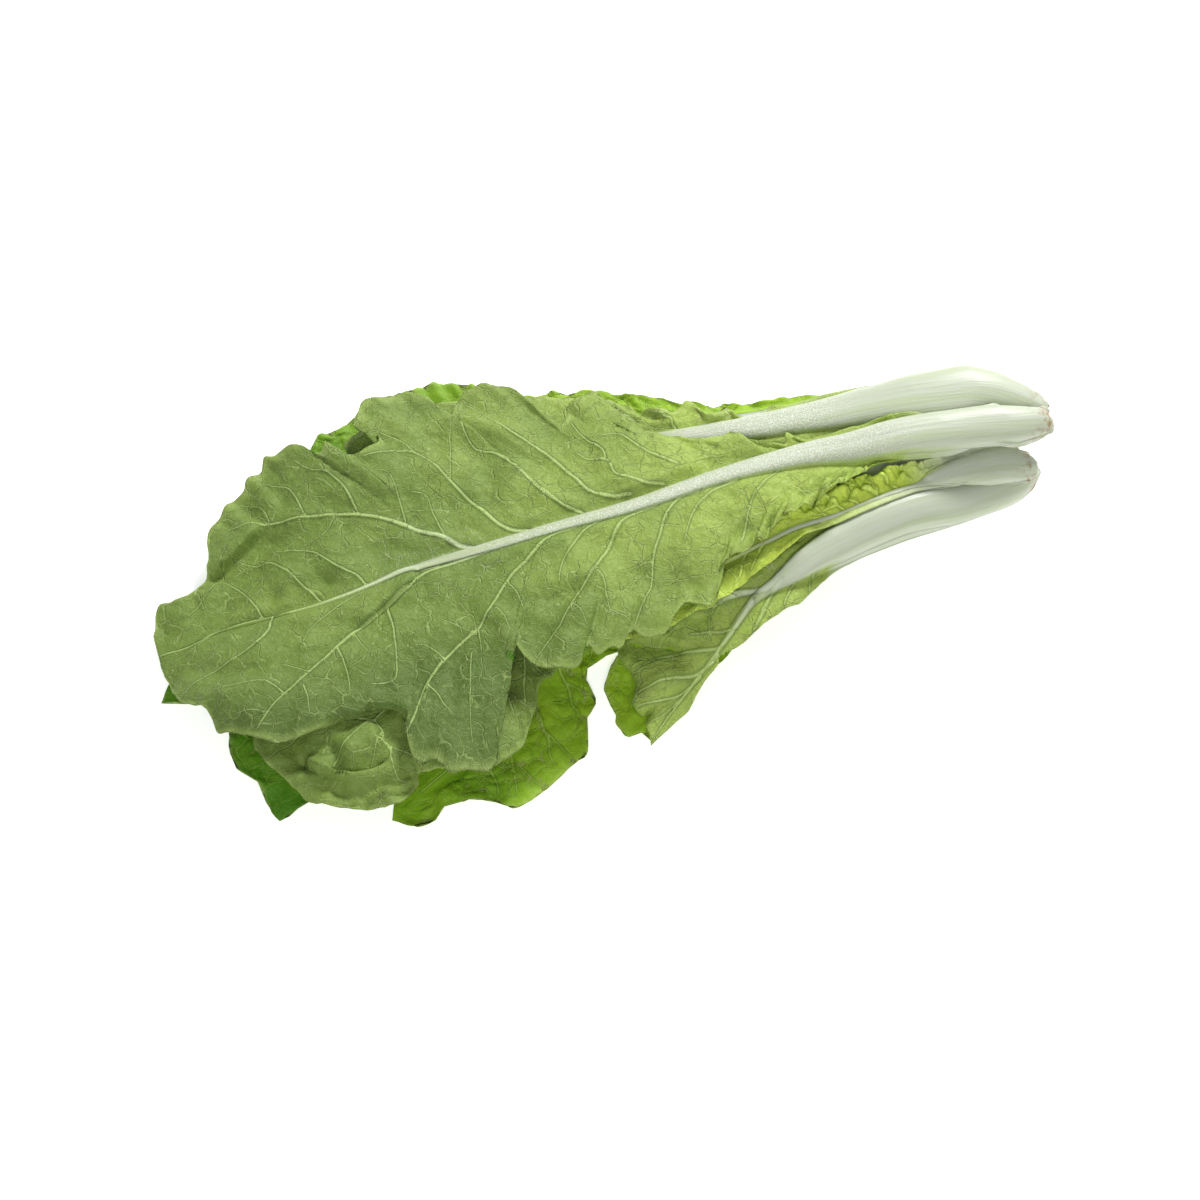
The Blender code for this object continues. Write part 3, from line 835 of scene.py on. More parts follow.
class Shader:
    """A short way to write a node tree."""

    def __init__(self, name):
        self.material = bpy.data.materials.new(name)
        self.material.use_nodes = True
        self.tree = self.material.node_tree
        self.surface = self.tree.nodes["Principled BSDF"]

    def put(self, socket, value):
        if isinstance(value, bpy.types.NodeSocket):
            self.tree.links.new(value, socket)
        else:
            socket.default_value = value

    def node(self, kind, inputs=(), **settings):
        made = self.tree.nodes.new(kind)
        for key, value in settings.items():
            setattr(made, key, value)
        for key, value in dict(inputs).items():
            self.put(made.inputs[key], value)
        return made

    def share(self, name):
        return self.node("ShaderNodeAttribute", attribute_name=name).outputs["Fac"]

    def maths(self, operation, a, b, clamp=False):
        made = self.node("ShaderNodeMath", {0: a, 1: b}, operation=operation, use_clamp=clamp)
        return made.outputs[0]

    def plus(self, a, b, clamp=False):
        return self.maths("ADD", a, b, clamp)

    def minus(self, a, b, clamp=False):
        return self.maths("SUBTRACT", a, b, clamp)

    def times(self, a, b, clamp=False):
        return self.maths("MULTIPLY", a, b, clamp)

    def scaled(self, vector, factors):
        inputs = {0: vector, 1: factors}
        return self.node("ShaderNodeVectorMath", inputs, operation="MULTIPLY").outputs[0]

    def ramp(self, value, low, high, to_low=0.0, to_high=1.0):
        keys = ("Value", "From Min", "From Max", "To Min", "To Max")
        inputs = zip(keys, (value, low, high, to_low, to_high))
        made = self.node("ShaderNodeMapRange", inputs, interpolation_type="SMOOTHSTEP")
        return made.outputs["Result"]

    def mix(self, share, a, b, blend="MIX"):
        inputs = {0: share, 6: a, 7: b}
        return self.node("ShaderNodeMix", inputs, data_type="RGBA", blend_type=blend).outputs[2]

    def bump(self, height):
        made = self.node("ShaderNodeBump", {"Height": height, "Strength": 1.0, "Distance": 1.0})
        self.put(self.surface.inputs["Normal"], made.outputs[0])

    def noise(self, scale, vector, detail=2.0, roughness=0.5):
        inputs = {"Vector": vector, "Scale": scale, "Detail": detail, "Roughness": roughness}
        return self.node("ShaderNodeTexNoise", inputs).outputs["Fac"]


COLOUR = {name: linear(*srgb) for name, srgb in {
    "back_base": (161, 184, 82),
    "back_tip": (113, 138, 58),
    "face_base": (150, 190, 30),
    "face_tip": (76, 134, 5),
    # painted shade on the near side of the top leaf
    "painted_near_shade": (60, 86, 30),
    "pores": (48, 74, 16),
    "bloom": (196, 212, 128),
    # painted shadow along both sides of the veins
    "painted_vein_shadow": (60, 92, 24),
    "vein_back": (178, 202, 120),
    "vein_face": (168, 198, 92),
    "thick_vein": (216, 224, 198),
    "edge": (178, 200, 110),
    "stalk": (194, 200, 182),
    "stalk_green": (176, 190, 144),
    # painted highlight: the glints on the stalk
    "painted_glints": (246, 248, 242),
    # darker specks between the painted glints
    "between_glints": (150, 166, 120),
    "brown": (150, 116, 70),
    "stem": (222, 224, 200),
    "stem_fibre": (190, 198, 150),
    "stem_brown": (150, 118, 74),
    "floor": (250, 250, 250),
    "floor_patch": (247, 247, 247),
}.items()}


# The pale tint is partly the inner leaves' own paler colour and partly painted light, brightening
# leaves that lie in the shade of the leaves above.
TINTS = {"leaf_back": (1.0, 1.0, 1.0), "leaf_face": (1.0, 1.0, 0.9), "leaf_pale": (1.6, 1.5, 1.0)}


def leaf_material(name, tint):
    """Blade and stalk of one kind of leaf, told apart by the shares that its mesh holds."""
    s = Shader(name)
    where = s.node("ShaderNodeTexCoord").outputs["Object"]
    shift = s.node("ShaderNodeTexNoise", {"Vector": where, "Scale": 150.0, "Detail": 1.0})
    inputs = {"Factor": 0.004, 4: where, 5: shift.outputs["Color"]}
    bent = s.node("ShaderNodeMix", inputs, data_type="VECTOR").outputs[1]
    flow = s.node("ShaderNodeAttribute", attribute_name="flow").outputs["Vector"]
    along_stalk, along_fibre = (s.scaled(flow, (1.0, squash, 1.0)) for squash in (0.035, 0.02))
    stalk, face, shade, half = map(s.share, ("stalk", "face", "shade", "vein_half"))

    # The blade: how near each place is to a vein, then its colour.
    def profile(gap, width, near):
        t = s.maths("DIVIDE", s.share(gap), width)
        return s.times(s.minus(1.0, s.times(t, t), clamp=True), s.share(near))

    vein = profile("vein_gap", s.times(half, 1.1), "vein_near")
    # a band wider than the vein, which carries the painted shadow along its sides
    foot = profile("vein_gap", s.times(half, 2.6), "vein_near")
    net = profile("net_gap", 0.3, "net_near")
    inputs = {"Vector": bent, "Scale": 420.0}
    tiny = s.node("ShaderNodeTexVoronoi", inputs, feature="DISTANCE_TO_EDGE").outputs["Distance"]
    tiny_line = s.ramp(tiny, 0.0, 0.07, 1.0, 0.0)
    patches = s.noise(38.0, where, 3.0)
    grain = s.noise(700.0, where, 3.0, 0.65)
    crumple = s.noise(400.0, bent, 3.0, 0.6)

    depth = s.plus(shade, s.ramp(patches, 0.3, 0.7, -0.2, 0.2), clamp=True)
    back = s.mix(depth, COLOUR["back_base"], COLOUR["back_tip"])
    front = s.mix(depth, COLOUR["face_base"], COLOUR["face_tip"])
    blade = s.mix(face, back, front)
    lines = s.maths("MAXIMUM", s.times(net, 0.38), s.times(tiny_line, 0.22))
    lines = s.maths("MAXIMUM", lines, s.times(vein, s.ramp(half, 0.2, 0.9, 0.6, 1.0)))
    vein_colour = s.mix(face, COLOUR["vein_back"], COLOUR["vein_face"])
    vein_colour = s.mix(s.ramp(half, 0.7, 1.3), vein_colour, COLOUR["thick_vein"])
    for share, colour in (
        # painted shade on the near margin, where the shade share runs past 1
        (s.ramp(shade, 1.0, 1.6, 0.0, 0.55), COLOUR["painted_near_shade"]),
        (s.ramp(grain, 0.35, 0.75, 0.0, 0.14), COLOUR["pores"]),
        (s.ramp(crumple, 0.5, 0.8, 0.0, 0.03), COLOUR["bloom"]),
        # painted shadow along both sides of each vein
        (s.times(s.minus(foot, vein, clamp=True), 0.5), COLOUR["painted_vein_shadow"]),
        (lines, vein_colour),
        (s.times(s.share("edge"), 0.35), COLOUR["edge"]),
    ):
        blade = s.mix(share, blade, colour)
    blade = s.mix(1.0, blade, (*tint, 1.0), "MULTIPLY")

    # The stalk: green streaks along it, painted glints strewn over it with darker specks between
    # them, and bruises at its cut end.
    streak = s.noise(900.0, along_stalk, 3.0, 0.55)
    wide_streak = s.noise(220.0, along_stalk, 2.0)
    fibre = s.noise(1900.0, along_fibre, 2.0, 0.6)
    green = s.ramp(streak, 0.42, 0.72, 0.0, 0.3)
    for more in (
        s.ramp(wide_streak, 0.4, 0.75, 0.0, 0.45),
        s.times(shade, 0.5),
        s.ramp(fibre, 0.5, 0.68, 0.0, 0.35),
    ):
        green = s.plus(green, more, clamp=True)
    # painted highlight: the pattern of near-white glints on the stalk, also a little raised
    painted_glints = s.noise(1700.0, where, 2.0, 0.6)
    sparkle = s.share("sparkle")
    spots = s.ramp(s.noise(260.0, where, 4.0, 0.7), 0.47, 0.62)
    flesh = s.mix(green, COLOUR["stalk"], COLOUR["stalk_green"])
    for share, colour in (
        (s.times(s.ramp(painted_glints, 0.52, 0.62), s.times(sparkle, 0.45)), COLOUR["painted_glints"]),
        (s.times(s.ramp(painted_glints, 0.48, 0.36), s.times(sparkle, 0.15)), COLOUR["between_glints"]),
        (s.times(s.times(s.share("heel"), spots, clamp=True), 0.85), COLOUR["brown"]),
    ):
        flesh = s.mix(share, flesh, colour)
    s.put(s.surface.inputs["Base Color"], s.mix(stalk, blade, flesh))

    rough = s.ramp(grain, 0.3, 0.7, 0.56, 0.7)
    glossy = s.ramp(streak, 0.3, 0.7, 0.3, 0.45)
    mixed = s.node("ShaderNodeMix", {0: stalk, 2: rough, 3: glossy}, data_type="FLOAT")
    s.put(s.surface.inputs["Roughness"], mixed.outputs[0])

    def sized(value, millimetres):
        return s.times(value, millimetres * MM)

    relief = s.plus(sized(s.times(vein, half), 0.9), sized(net, 0.42))
    relief = s.plus(relief, s.plus(sized(tiny_line, 0.11), sized(crumple, 0.5)))
    relief = s.plus(relief, sized(grain, 0.28))
    relief = s.times(relief, s.minus(1.0, s.times(face, 1.5)))
    rows = s.plus(sized(streak, 0.2), sized(s.noise(2300.0, where, 1.0), 0.05))
    rows = s.plus(rows, s.times(sparkle, sized(painted_glints, 0.3)))
    s.bump(s.plus(s.times(s.minus(1.0, stalk), relief), s.times(stalk, rows)))
    s.surface.inputs["Specular IOR Level"].default_value = 0.38
    return s.material


def stem_material():
    """The cut face and skin of the stem: pale flesh with fibres, browned where it was cut."""
    s = Shader("stem_core_looks")
    where = s.node("ShaderNodeTexCoord").outputs["Object"]
    fibres = s.noise(700.0, where, 4.0, 0.6)
    blots = s.noise(160.0, where, 3.0, 0.6)
    flesh = s.mix(s.ramp(fibres, 0.4, 0.65, 0.0, 0.6), COLOUR["stem"], COLOUR["stem_fibre"])
    flesh = s.mix(s.ramp(blots, 0.5, 0.7, 0.0, 0.5), flesh, COLOUR["stem_brown"])
    s.put(s.surface.inputs["Base Color"], flesh)
    s.put(s.surface.inputs["Roughness"], s.ramp(fibres, 0.3, 0.7, 0.4, 0.6))
    s.bump(s.times(fibres, 0.3 * MM))
    return s.material


# ---------------------------------------------------------------- the leaves, from the table up

def path(*numbers):
    """Pairs of numbers: places in plan, or distances along with a width at each."""
    return np.array(numbers, float).reshape(-1, 2)


BELOW = [
    Leaf(
        "leaf_under_middle", "leaf_face", 3,
        rib=path(8, 3, 110, 2, 230, -6, 300, -12, 318, -14),
        far_wide=path(90, 3, 150, 26, 240, 46, 325, 34),
        near_wide=path(90, 3, 150, 24, 240, 36, 325, 30),
        tip=(338, -22), ruffle=2.2,
    ),
    Leaf(
        "leaf_under_back", "leaf_face", 4,
        rib=path(8, 11, 90, 22, 170, 42, 230, 58, 262, 63),
        far_wide=path(80, 2, 120, 14, 160, 28, 186, 26, 216, 33, 250, 28, 284, 22),
        near_wide=path(80, 3, 130, 18, 200, 36, 250, 30, 284, 22),
        ruffle=2.6, teeth=1.3, shade=(150.0, 330.0),
    ),
    Leaf(
        "leaf_under_front", "leaf_face", 5,
        rib=path(6, -5, 70, -10, 130, -18, 180, -32, 215, -54, 238, -70, 256, -80),
        far_wide=path(90, 3, 150, 24, 210, 36, 254, 28, 274, 22),
        near=path(122, -21, 150, -32, 172, -42, 185, -46, 189.5, -51.5, 187, -60, 192, -66, 194,
            -74, 196, -80, 203.7, -84.4, 212.5, -89.4, 220, -93.8, 226, -94.7, 232.4, -89.5, 243,
            -88, 249, -87.5, 252.4, -91.4, 258.6, -93.4, 264, -91.5),
        tip=(268, -88), ruffle=2.6, waves=3.0, shade=(150.0, 420.0),
    ),
    Leaf(
        "leaf_under_left", "leaf_face", 6,
        rib=path(16, 2, 100, -4, 180, -14, 240, -34, 282, -56, 296, -68),
        far=path(100, 2, 130, 8, 170, 20, 220, 28, 270, 16, 300, -8, 313, -28, 317, -45.5, 317, -57,
            313.5, -61, 309.5, -67, 309, -73),
        near_wide=path(100, 3, 170, 24, 240, 30, 290, 22, 325, 14),
        tip=(306, -81), stalk=4.0, thickness=0.6, ruffle=2.0,
    ),
]

TOP_VEINS = [
    # from the rib to the far margin
    (path(138, 12.6, 144, 18, 149.4, 24, 154.7, 31.4, 161.6, 33), 0.61, 0.3),
    (path(145, 6.3, 152.5, 8, 159.6, 12.9, 161.2, 17, 162.4, 21.7, 168.7, 23.8, 172, 28), 0.68,
        0.3),
    (path(162.4, 21.7, 162.5, 27, 167.3, 34.2, 170, 43), 0.48, 0.3),
    (path(158, 5.2, 165.5, 6.1, 172, 11, 175.7, 17.8, 180, 26.5, 185, 33.7, 192, 41.7, 199.6, 50.7,
        205.6, 61.4), 0.75, 0.38),
    (path(176, 2.5, 183.5, 8.2, 189, 16.4, 194, 25.8, 200, 35.5, 207.4, 40.7, 209.8, 53.7), 0.75,
        0.3),
    (path(196, 0.3, 203.7, 3.1, 209.6, 10.8, 215.5, 21.4, 223, 35.3, 229, 43.3, 235.6, 45.9, 247,
        46.7), 0.85, 0.34),
    (path(229, 43.3, 233.2, 51.4, 240.6, 56.2), 0.41, 0.26),
    (path(219, 29, 216, 42, 213, 55), 0.34, 0.22),
    # the branch to the back lobe
    (path(214, -2.8, 222.5, 1.1, 227.4, 5.4, 234.6, 10.3, 244.6, 18.9, 255.4, 24.4, 267.8, 28.1,
        279.3, 30.7, 292, 33.5, 301, 35), 1.05, 0.38),
    (path(254.4, 25.9, 257, 36.1, 261.4, 44.2, 266.2, 47.3, 272, 54.5), 0.54, 0.26),
    (path(273.2, 31.1, 274.5, 39.3, 277, 45, 284.3, 50.5), 0.41, 0.22),
    (path(285.6, 31.9, 287.4, 40.7, 294.2, 45.6), 0.34, 0.22),
    (path(238.6, 16.4, 239.1, 27.8, 240.1, 36.4, 244.9, 39.2), 0.41, 0.22),
    (path(226.6, 6.2, 228.3, 17.1, 229, 24.7, 233.7, 27.6), 0.41, 0.22),
    (path(262, 26.5, 268, 20, 276, 18), 0.27, 0.22),
    # the middle branch, to the tip
    (path(214, -3.2, 225.9, -3.6, 240.7, -3.9, 255, -6.6, 266.6, -8.4, 280.8, -9, 292.2, -7, 303.9,
        -5.6, 313.5, -6.3, 323, -8.5, 334, -8.5), 1.3, 0.38),
    (path(257.2, -6.5, 260.4, -0.6, 266.3, 5.1, 273.5, 14.4, 279, 17, 287.5, 20.1), 0.54, 0.26),
    (path(274.1, -8.2, 276.6, -2.9, 284.5, 10.3, 288.9, 16.1, 294.7, 17.3, 301.9, 23.5), 0.54,
        0.26),
    (path(295.7, -6.5, 299.9, 5.3, 305.5, 13.7, 310, 15.5), 0.48, 0.26),
    (path(310, 15.2, 317, 8.1, 322, 5), 0.27, 0.22),
    (path(292.5, -7.6, 293.7, -12.3, 295.4, -16.4, 301.7, -21.3, 309.8, -23.9, 324, -27.6, 331,
        -30.4), 0.61, 0.26),
    (path(259.3, -9.4, 268.9, -13.8, 279.4, -19.4, 284, -25), 0.34, 0.22),
    (path(314.7, -6.5, 322.8, -11, 331, -13), 0.34, 0.22),
    # the near branch
    (path(212, -4.2, 225.2, -5.6, 235, -7.4, 244.2, -11.5, 254.2, -17.8, 266.8, -25.6, 279.1, -34.6,
        289.8, -41.7, 300, -49, 306, -55), 0.95, 0.34),
    (path(266.8, -25.6, 264.9, -30.1, 263.1, -35.3), 0.34, 0.22),
    (path(273.2, -31.1, 272.1, -36.9, 271.8, -42.7, 272.6, -48), 0.48, 0.26),
    (path(287.8, -43.3, 287.4, -47.7, 287.9, -54.3), 0.41, 0.22),
    (path(294.5, -45.2, 297.3, -41.1, 302, -37.2, 311.8, -35.4, 318.4, -34.4), 0.41, 0.22),
    (path(285, -38.1, 288, -35.4, 292.6, -32.1), 0.27, 0.22),
    (path(252.6, -18.1, 252.3, -24.8, 252.9, -31.4, 255.7, -45.7, 259, -48, 264.6, -47.6), 0.54,
        0.26),
    (path(302.1, -50.8, 306.2, -48.5, 311.8, -47.3), 0.27, 0.22),
    # from the rib to the near margin
    (path(104, -1.5, 110.1, -4.8, 115.4, -9, 118.6, -13.8, 121.3, -19.4, 124.7, -25.6), 0.48, 0.26),
    (path(119.4, -1.2, 127.9, -2.7, 132.1, -4.8, 136.6, -8.4, 139.8, -12.4, 144.7, -21.4), 0.68,
        0.26),
    (path(134, -1.5, 141.3, -2.2, 147.9, -8.3, 152.4, -16.1, 157, -24.4, 160.5, -34.3, 165.8, -41.8,
        170.6, -49), 0.75, 0.3),
    (path(157.6, -25.6, 161.4, -25.5, 165.5, -27.5), 0.34, 0.22),
    (path(150, -2.8, 160.5, -4.8, 166.7, -9.6, 173.1, -18.5, 181, -26.3, 189, -35.6, 196, -43.5,
        202.6, -49.5, 208, -53.8), 0.75, 0.3),
    (path(178.1, -24.1, 176.6, -28.5, 176.8, -33.9, 177.7, -43), 0.41, 0.22),
    (path(177.4, -41.8, 174.5, -43.9, 171.7, -46.7), 0.27, 0.22),
    (path(189.4, -36.4, 187.5, -40.3, 186.8, -44.5), 0.27, 0.22),
    (path(166, -2.8, 171.5, -3.5, 179, -7.1, 185.5, -13.9, 189, -18.5, 192, -26), 0.61, 0.26),
    (path(180, -3.6, 189.2, -5.2, 198.4, -11.2, 208.6, -19.3, 217.2, -28.6, 223.6, -36), 0.75,
        0.52),
    (path(223.6, -36, 229.4, -38.7, 238.9, -44.7, 246.4, -52.7, 252.5, -62.3, 257, -69.5), 0.68,
        0.38),
    (path(223.7, -36.4, 224.1, -41.7, 224.5, -45), 0.34, 0.22),
    (path(209, -21.3, 207.2, -25.9, 206.5, -32.5), 0.34, 0.22),
    (path(215.7, -29.8, 213.9, -34.5, 213.4, -39.6), 0.34, 0.22),
    (path(238.5, -43.6, 240.6, -39.5, 243.4, -36.7, 246.2, -36.3), 0.34, 0.22),
    (path(235.1, -28.3, 229.3, -33.3, 226, -36.4), 0.27, 0.22),
    (path(245.7, -52.2, 243.3, -56.7, 242.2, -61.5, 240.3, -65.8), 0.41, 0.22),
    (path(228, -44, 231, -55, 234, -66, 236, -78), 0.34, 0.22),
]

ABOVE = [
    Leaf(
        "leaf_front_low", "leaf_face", 7,
        rib=path(8, -8, 14, -10, 27, -14, 55, -18.5, 83, -22.5, 112, -32, 140, -48, 155, -59),
        far=path(84, -19, 112, -21, 140, -29, 165, -39, 177, -47, 182.5, -54, 183.5, -59, 182, -66,
            183, -72, 180, -77, 175.5, -76),
        near=path(84, -27, 112, -39, 140, -56, 152, -66, 163, -76),
        tip=(172, -81), taper=QUICK_TAPER, ruffle=1.2, shade=(150.0, 420.0),
    ),
    Leaf(
        "leaf_back_edge", "leaf_face", 8,
        rib=path(7, 12, 20, 20, 40, 27, 62, 30, 100, 35, 150, 44, 200, 53, 228, 59),
        far_wide=path(60, 2, 110, 8, 150, 18, 200, 18, 240, 14),
        near_wide=path(60, 2, 110, 12, 160, 24, 210, 22, 240, 18),
        stalk=5.5, taper=QUICK_TAPER, ruffle=1.8, teeth=1.4, shade=(150.0, 420.0),
    ),
    Leaf(
        "heart_leaf_long", "leaf_face", 9,
        rib=path(32.4, 7, 80, 7, 140, 2, 180, -3),
        far_wide=path(20, 2, 60, 14, 110, 24, 162, 16),
        near_wide=path(20, 2, 60, 12, 110, 22, 162, 16),
        stalk=3.0, taper=QUICK_TAPER, back_up=True, thickness=0.5, rows=200, side=40, ruffle=2.2,
        period=8.0,
    ),
    Leaf(
        "heart_leaf_short", "leaf_pale", 10,
        rib=path(32.4, 3, 60, -7, 96, -17, 124, -25),
        far_wide=path(15, 2, 45, 10, 80, 14, 109, 9),
        near_wide=path(15, 2, 45, 8, 80, 13, 109, 9),
        stalk=2.5, taper=QUICK_TAPER, back_up=True, thickness=0.45, rows=200, side=40, ruffle=2.4,
        period=7.0,
    ),
    Leaf(
        "leaf_folded", "leaf_back", 11,
        rib=path(32.4, 5, 100, -6, 180, -20, 240, -42, 270, -60, 284, -72),
        far=path(110, -2, 150, 10, 200, 14, 250, 4, 280, -16, 298, -36, 308, -50, 308.4, -57, 305.8,
            -64.3, 299.5, -73),
        near=path(110, -11, 150, -22, 185, -42, 200, -53, 207.5, -58.5, 210, -65, 213, -70.5, 216.8,
            -76.5, 222, -81.5, 229, -84, 238, -84.5, 248, -82, 255.8, -80.5, 257.3, -85.2, 264.9,
            -90.7, 272.4, -91, 280.8, -89, 289.8, -84.4),
        swells=[
            (path(264, -64, 272, -66, 282, -70), 6.0, 7.0),
            (path(258, -80, 266, -83, 280, -84, 292, -74), -3.0, 3.0),
            (path(262, -88, 272, -87, 284, -84), 2.0, 3.5),
            (path(292, -50, 296, -60, 292, -70), -3.0, 4.0),
            (path(214, -50, 222, -60, 228, -72), -3.0, 6.0),
        ],
        creases=[
            (path(289, -64, 292.5, -67, 288.8, -71.9, 282.9, -75.6, 277.8, -79), -3.0, 5.0, -3.0,
                5.0),
            (path(285.4, -69.6, 284.5, -74, 277.6, -77, 269.7, -76.9, 262, -73), 2.5, 6.0, 2.5,
                4.0),
            (path(304, -72, 295.8, -82, 288, -86.5, 277, -89), 2.0, 5.0, 1.5, 4.0),
            (path(272, -88, 262.4, -86, 258, -82), -2.0, 4.0, -2.0, 4.0),
        ],
        tip=(296, -80), stalk=3.0, back_up=True, thickness=0.5, ruffle=2.0, waves=2.4, period=9.0,
        teeth=0.6, side=50, coarse=1, grown=11.0,
    ),
    Leaf(
        "leaf_front", "leaf_back", 12,
        rib=path(9, -14, 20, -19.5, 40, -22.8, 60, -24, 75, -26.3, 88, -29, 100, -32.5, 113, -37.2,
            125, -42.2, 138, -53, 144.6, -60, 154, -66.2, 162.6, -72.6),
        far=path(84, -21, 98, -20, 112, -22, 130, -24, 146, -30, 158, -34, 170, -38, 177, -43,
            179.6, -48, 177.1, -53, 178.5, -61, 180.6, -65, 178.7, -70.7, 174.7, -70.1, 173.2,
            -75.6, 173, -80),
        near=path(86, -36, 90, -37, 94, -38.5, 98.7, -41.3, 104.3, -44.3, 109, -47.1, 117.4, -49.2,
            127.2, -53.4, 135.1, -56.7, 142.7, -57.5, 145, -61.5, 151.6, -68.3, 157.5, -74.6, 166.4,
            -79.8),
        taper=path(0, 1, 0.4, 0.95, 0.48, 0.92, 0.56, 0.74, 0.64, 0.42, 0.71, 0.25, 1, 0.08),
        veins=[
            (path(112, -34, 118.6, -38.5, 128.7, -38.6, 138.6, -40.9, 148, -41.6, 157.7, -46.1),
                1.5, 0.4),
            (path(113, -37.5, 116.7, -40.5, 122.7, -47.8, 127.3, -52.8), 1.0, 0.35),
            (path(106, -36.5, 111, -42, 114, -47), 0.6, 0.3),
            (path(98, -35, 102, -39, 104, -43), 0.5, 0.25),
            (path(144.3, -59.5, 150.8, -62.4, 156.3, -62.9, 163.9, -62.7, 172, -65, 178.6, -67),
                0.8, 0.3),
            (path(172, -65, 175.7, -60.7), 0.4, 0.25),
            (path(150, -63.8, 158, -68, 168, -69.5, 174, -69), 0.6, 0.3),
            (path(158, -69.5, 166, -73.5, 171, -75), 0.5, 0.25),
            (path(140, -55.2, 150, -55, 160, -54, 172, -56), 0.7, 0.3),
            (path(134, -50, 141, -50, 150, -49), 0.6, 0.3),
            (path(138, -40.9, 142, -46, 143, -51), 0.4, 0.25),
            (path(125, -42.2, 140, -55, 154, -66.2, 166, -76, 172, -82), 1.1, 0.3),
        ],
        creases=[
            (path(172, -43.5, 163.3, -47, 157.8, -49.3, 151, -53.5), -3.0, 9.0, -2.5, 7.0),
            (path(158, -45, 153.9, -40.6, 148.9, -37, 141, -39), 2.2, 5.0, 1.5, 5.0),
        ],
        curls=[(1, (179, -60), 26.0, 9.0, -2.6)],
        frills=[(1, (140, -27), 44.0, 3.4, 7.0, 0.2)],
        heel=(0.5, 14.0, 0.5), tip=(173.6, -84), stalk=6.5, back_up=True, rows=320, side=64,
        ruffle=1.2, period=9.0, teeth=0.5, grown=0.0, waves=1.2, shade=(110.0, 300.0),
        white=(0.58, 0.8),
    ),
    Leaf(
        "leaf_inner_front", "leaf_pale", 13,
        rib=path(10.5, -19.5, 15, -18, 20, -16.4, 26, -15.4, 35, -14.9, 45, -15.2, 58, -17.2, 75,
            -19.3, 88, -20.8, 103, -21.6, 117, -25, 160, -36, 196, -43),
        far=path(30, -9.2, 38, -8.9, 44, -8.7, 50, -9, 58, -9.4, 68, -10, 80, -10.4, 92, -12.4, 104,
            -15, 130, -19, 170, -27, 200, -37),
        near_wide=path(30, 1, 90, 3, 130, 12, 204, 14),
        taper=path(0, 1, 0.08, 1, 0.13, 0.78, 0.18, 0.45, 0.25, 0.17, 0.6, 0.1, 1, 0.06),
        swells=[(path(42, -11, 60, -12, 80, -14, 100, -17), 2.2, 4.0)],
        frills=[(1, (60, -8), 44.0, 2.6, 3.4, 0.0), (1, (100, -13), 34.0, 2.6, 4.2, 0.1)],
        heel=(0.5, 8.0, 0.5), stalk=7.0, back_up=True, thickness=0.8, rows=400, side=48, coarse=2,
        period=6.0, fold_out=1.0, grown=8.0, white=(0.5, 0.7),
    ),
    Leaf(
        "leaf_top_back", "leaf_back", 14,
        rib=path(2, -1, 5.8, 3.3, 12.3, 7.7, 19.3, 11, 27, 13.2, 40, 15, 57, 18, 67, 20.2, 90, 23.6,
            119, 27.2, 190, 38, 240, 45),
        far=path(52, 27.4, 62, 30, 74, 31.6, 87.9, 32, 95, 33.4, 102.1, 31.9, 110, 33.6, 112, 38.4,
            117, 36.6, 122, 40, 124, 46, 131, 43.4, 143, 47, 154.3, 54, 169.8, 61.5, 200, 66, 230,
            66, 252, 60),
        near_wide=path(60, 2, 120, 8, 160, 22, 210, 34, 262, 20),
        frills=[(1, (120, 44), 50.0, 2.0, 9.0, 0.3)],
        heel=(0.24, 26.0, 0.75), stalk=10.8, back_up=True, rows=320, side=64, ruffle=1.8, teeth=1.2,
        shade=(70.0, 330.0), sparkle=(60.0, 150.0),
    ),
    Leaf(
        "leaf_top", "leaf_back", 21,
        rib=path(2.6, -6.6, 8, -6.6, 17.5, -5.9, 28, -4.3, 40, -2.8, 57, -0.8, 74, 0.4, 95, 2.7,
            125.5, 2.6, 156, -0.4, 186, -1.6, 215, -2.9, 241, -3.9, 266.6, -7.8, 290, -8, 312, -6.5,
            326, -7.5),
        far=path(50, 8.4, 57, 10, 66, 10.6, 77.1, 10.6, 86, 10.9, 92.5, 12.4, 95.6, 16, 97.3, 12.2,
            103, 13.2, 109.2, 16.2, 112.8, 18.8, 115, 23, 118, 21.6, 124.7, 21.9, 130.3, 25.1, 137,
            28.6, 144, 31.5, 150, 34.5, 156, 37.5, 159, 45.5, 158.4, 50, 157.6, 55.2, 163.5, 53.8,
            170, 51.6, 170.2, 48.5, 172.5, 44.7, 175.7, 43.6, 179.1, 47.6, 183.1, 56.2, 187.3, 62.5,
            189.5, 64.9, 195, 67.5, 199.5, 69, 205, 67.4, 209.3, 63.1, 212.6, 57.5, 214.7, 57,
            216.2, 65.6, 219.9, 70.6, 227.8, 73.3, 235.4, 71.9, 242, 72.2, 246.5, 65.2, 248.5, 61,
            244.5, 56.6, 240, 53.6, 243.5, 50.2, 250.2, 48.6, 256.6, 51.8, 259.7, 57, 262.7, 52.6,
            267.4, 58.5, 272.9, 61.6, 279.2, 60.5, 282.5, 61.3, 284.9, 56.3, 290.1, 54.3, 293.4,
            49.6, 300.1, 46.3, 304, 42, 308.8, 36.5, 310, 29, 311.3, 23.5, 313, 18.5, 319.4, 14.4,
            326.6, 12.8, 330.8, 13, 334, 7.3, 334.5, 3.3, 335.9, 0, 334.9, -4.6),
        near=path(46, -10.4, 57, -9, 68, -9.6, 78, -12, 86, -14, 94, -17, 102, -19.5, 110, -21.5,
            114, -25, 121, -28.5, 129, -30.5, 135, -34, 137, -40, 142, -47, 145.4, -46.5, 149.5,
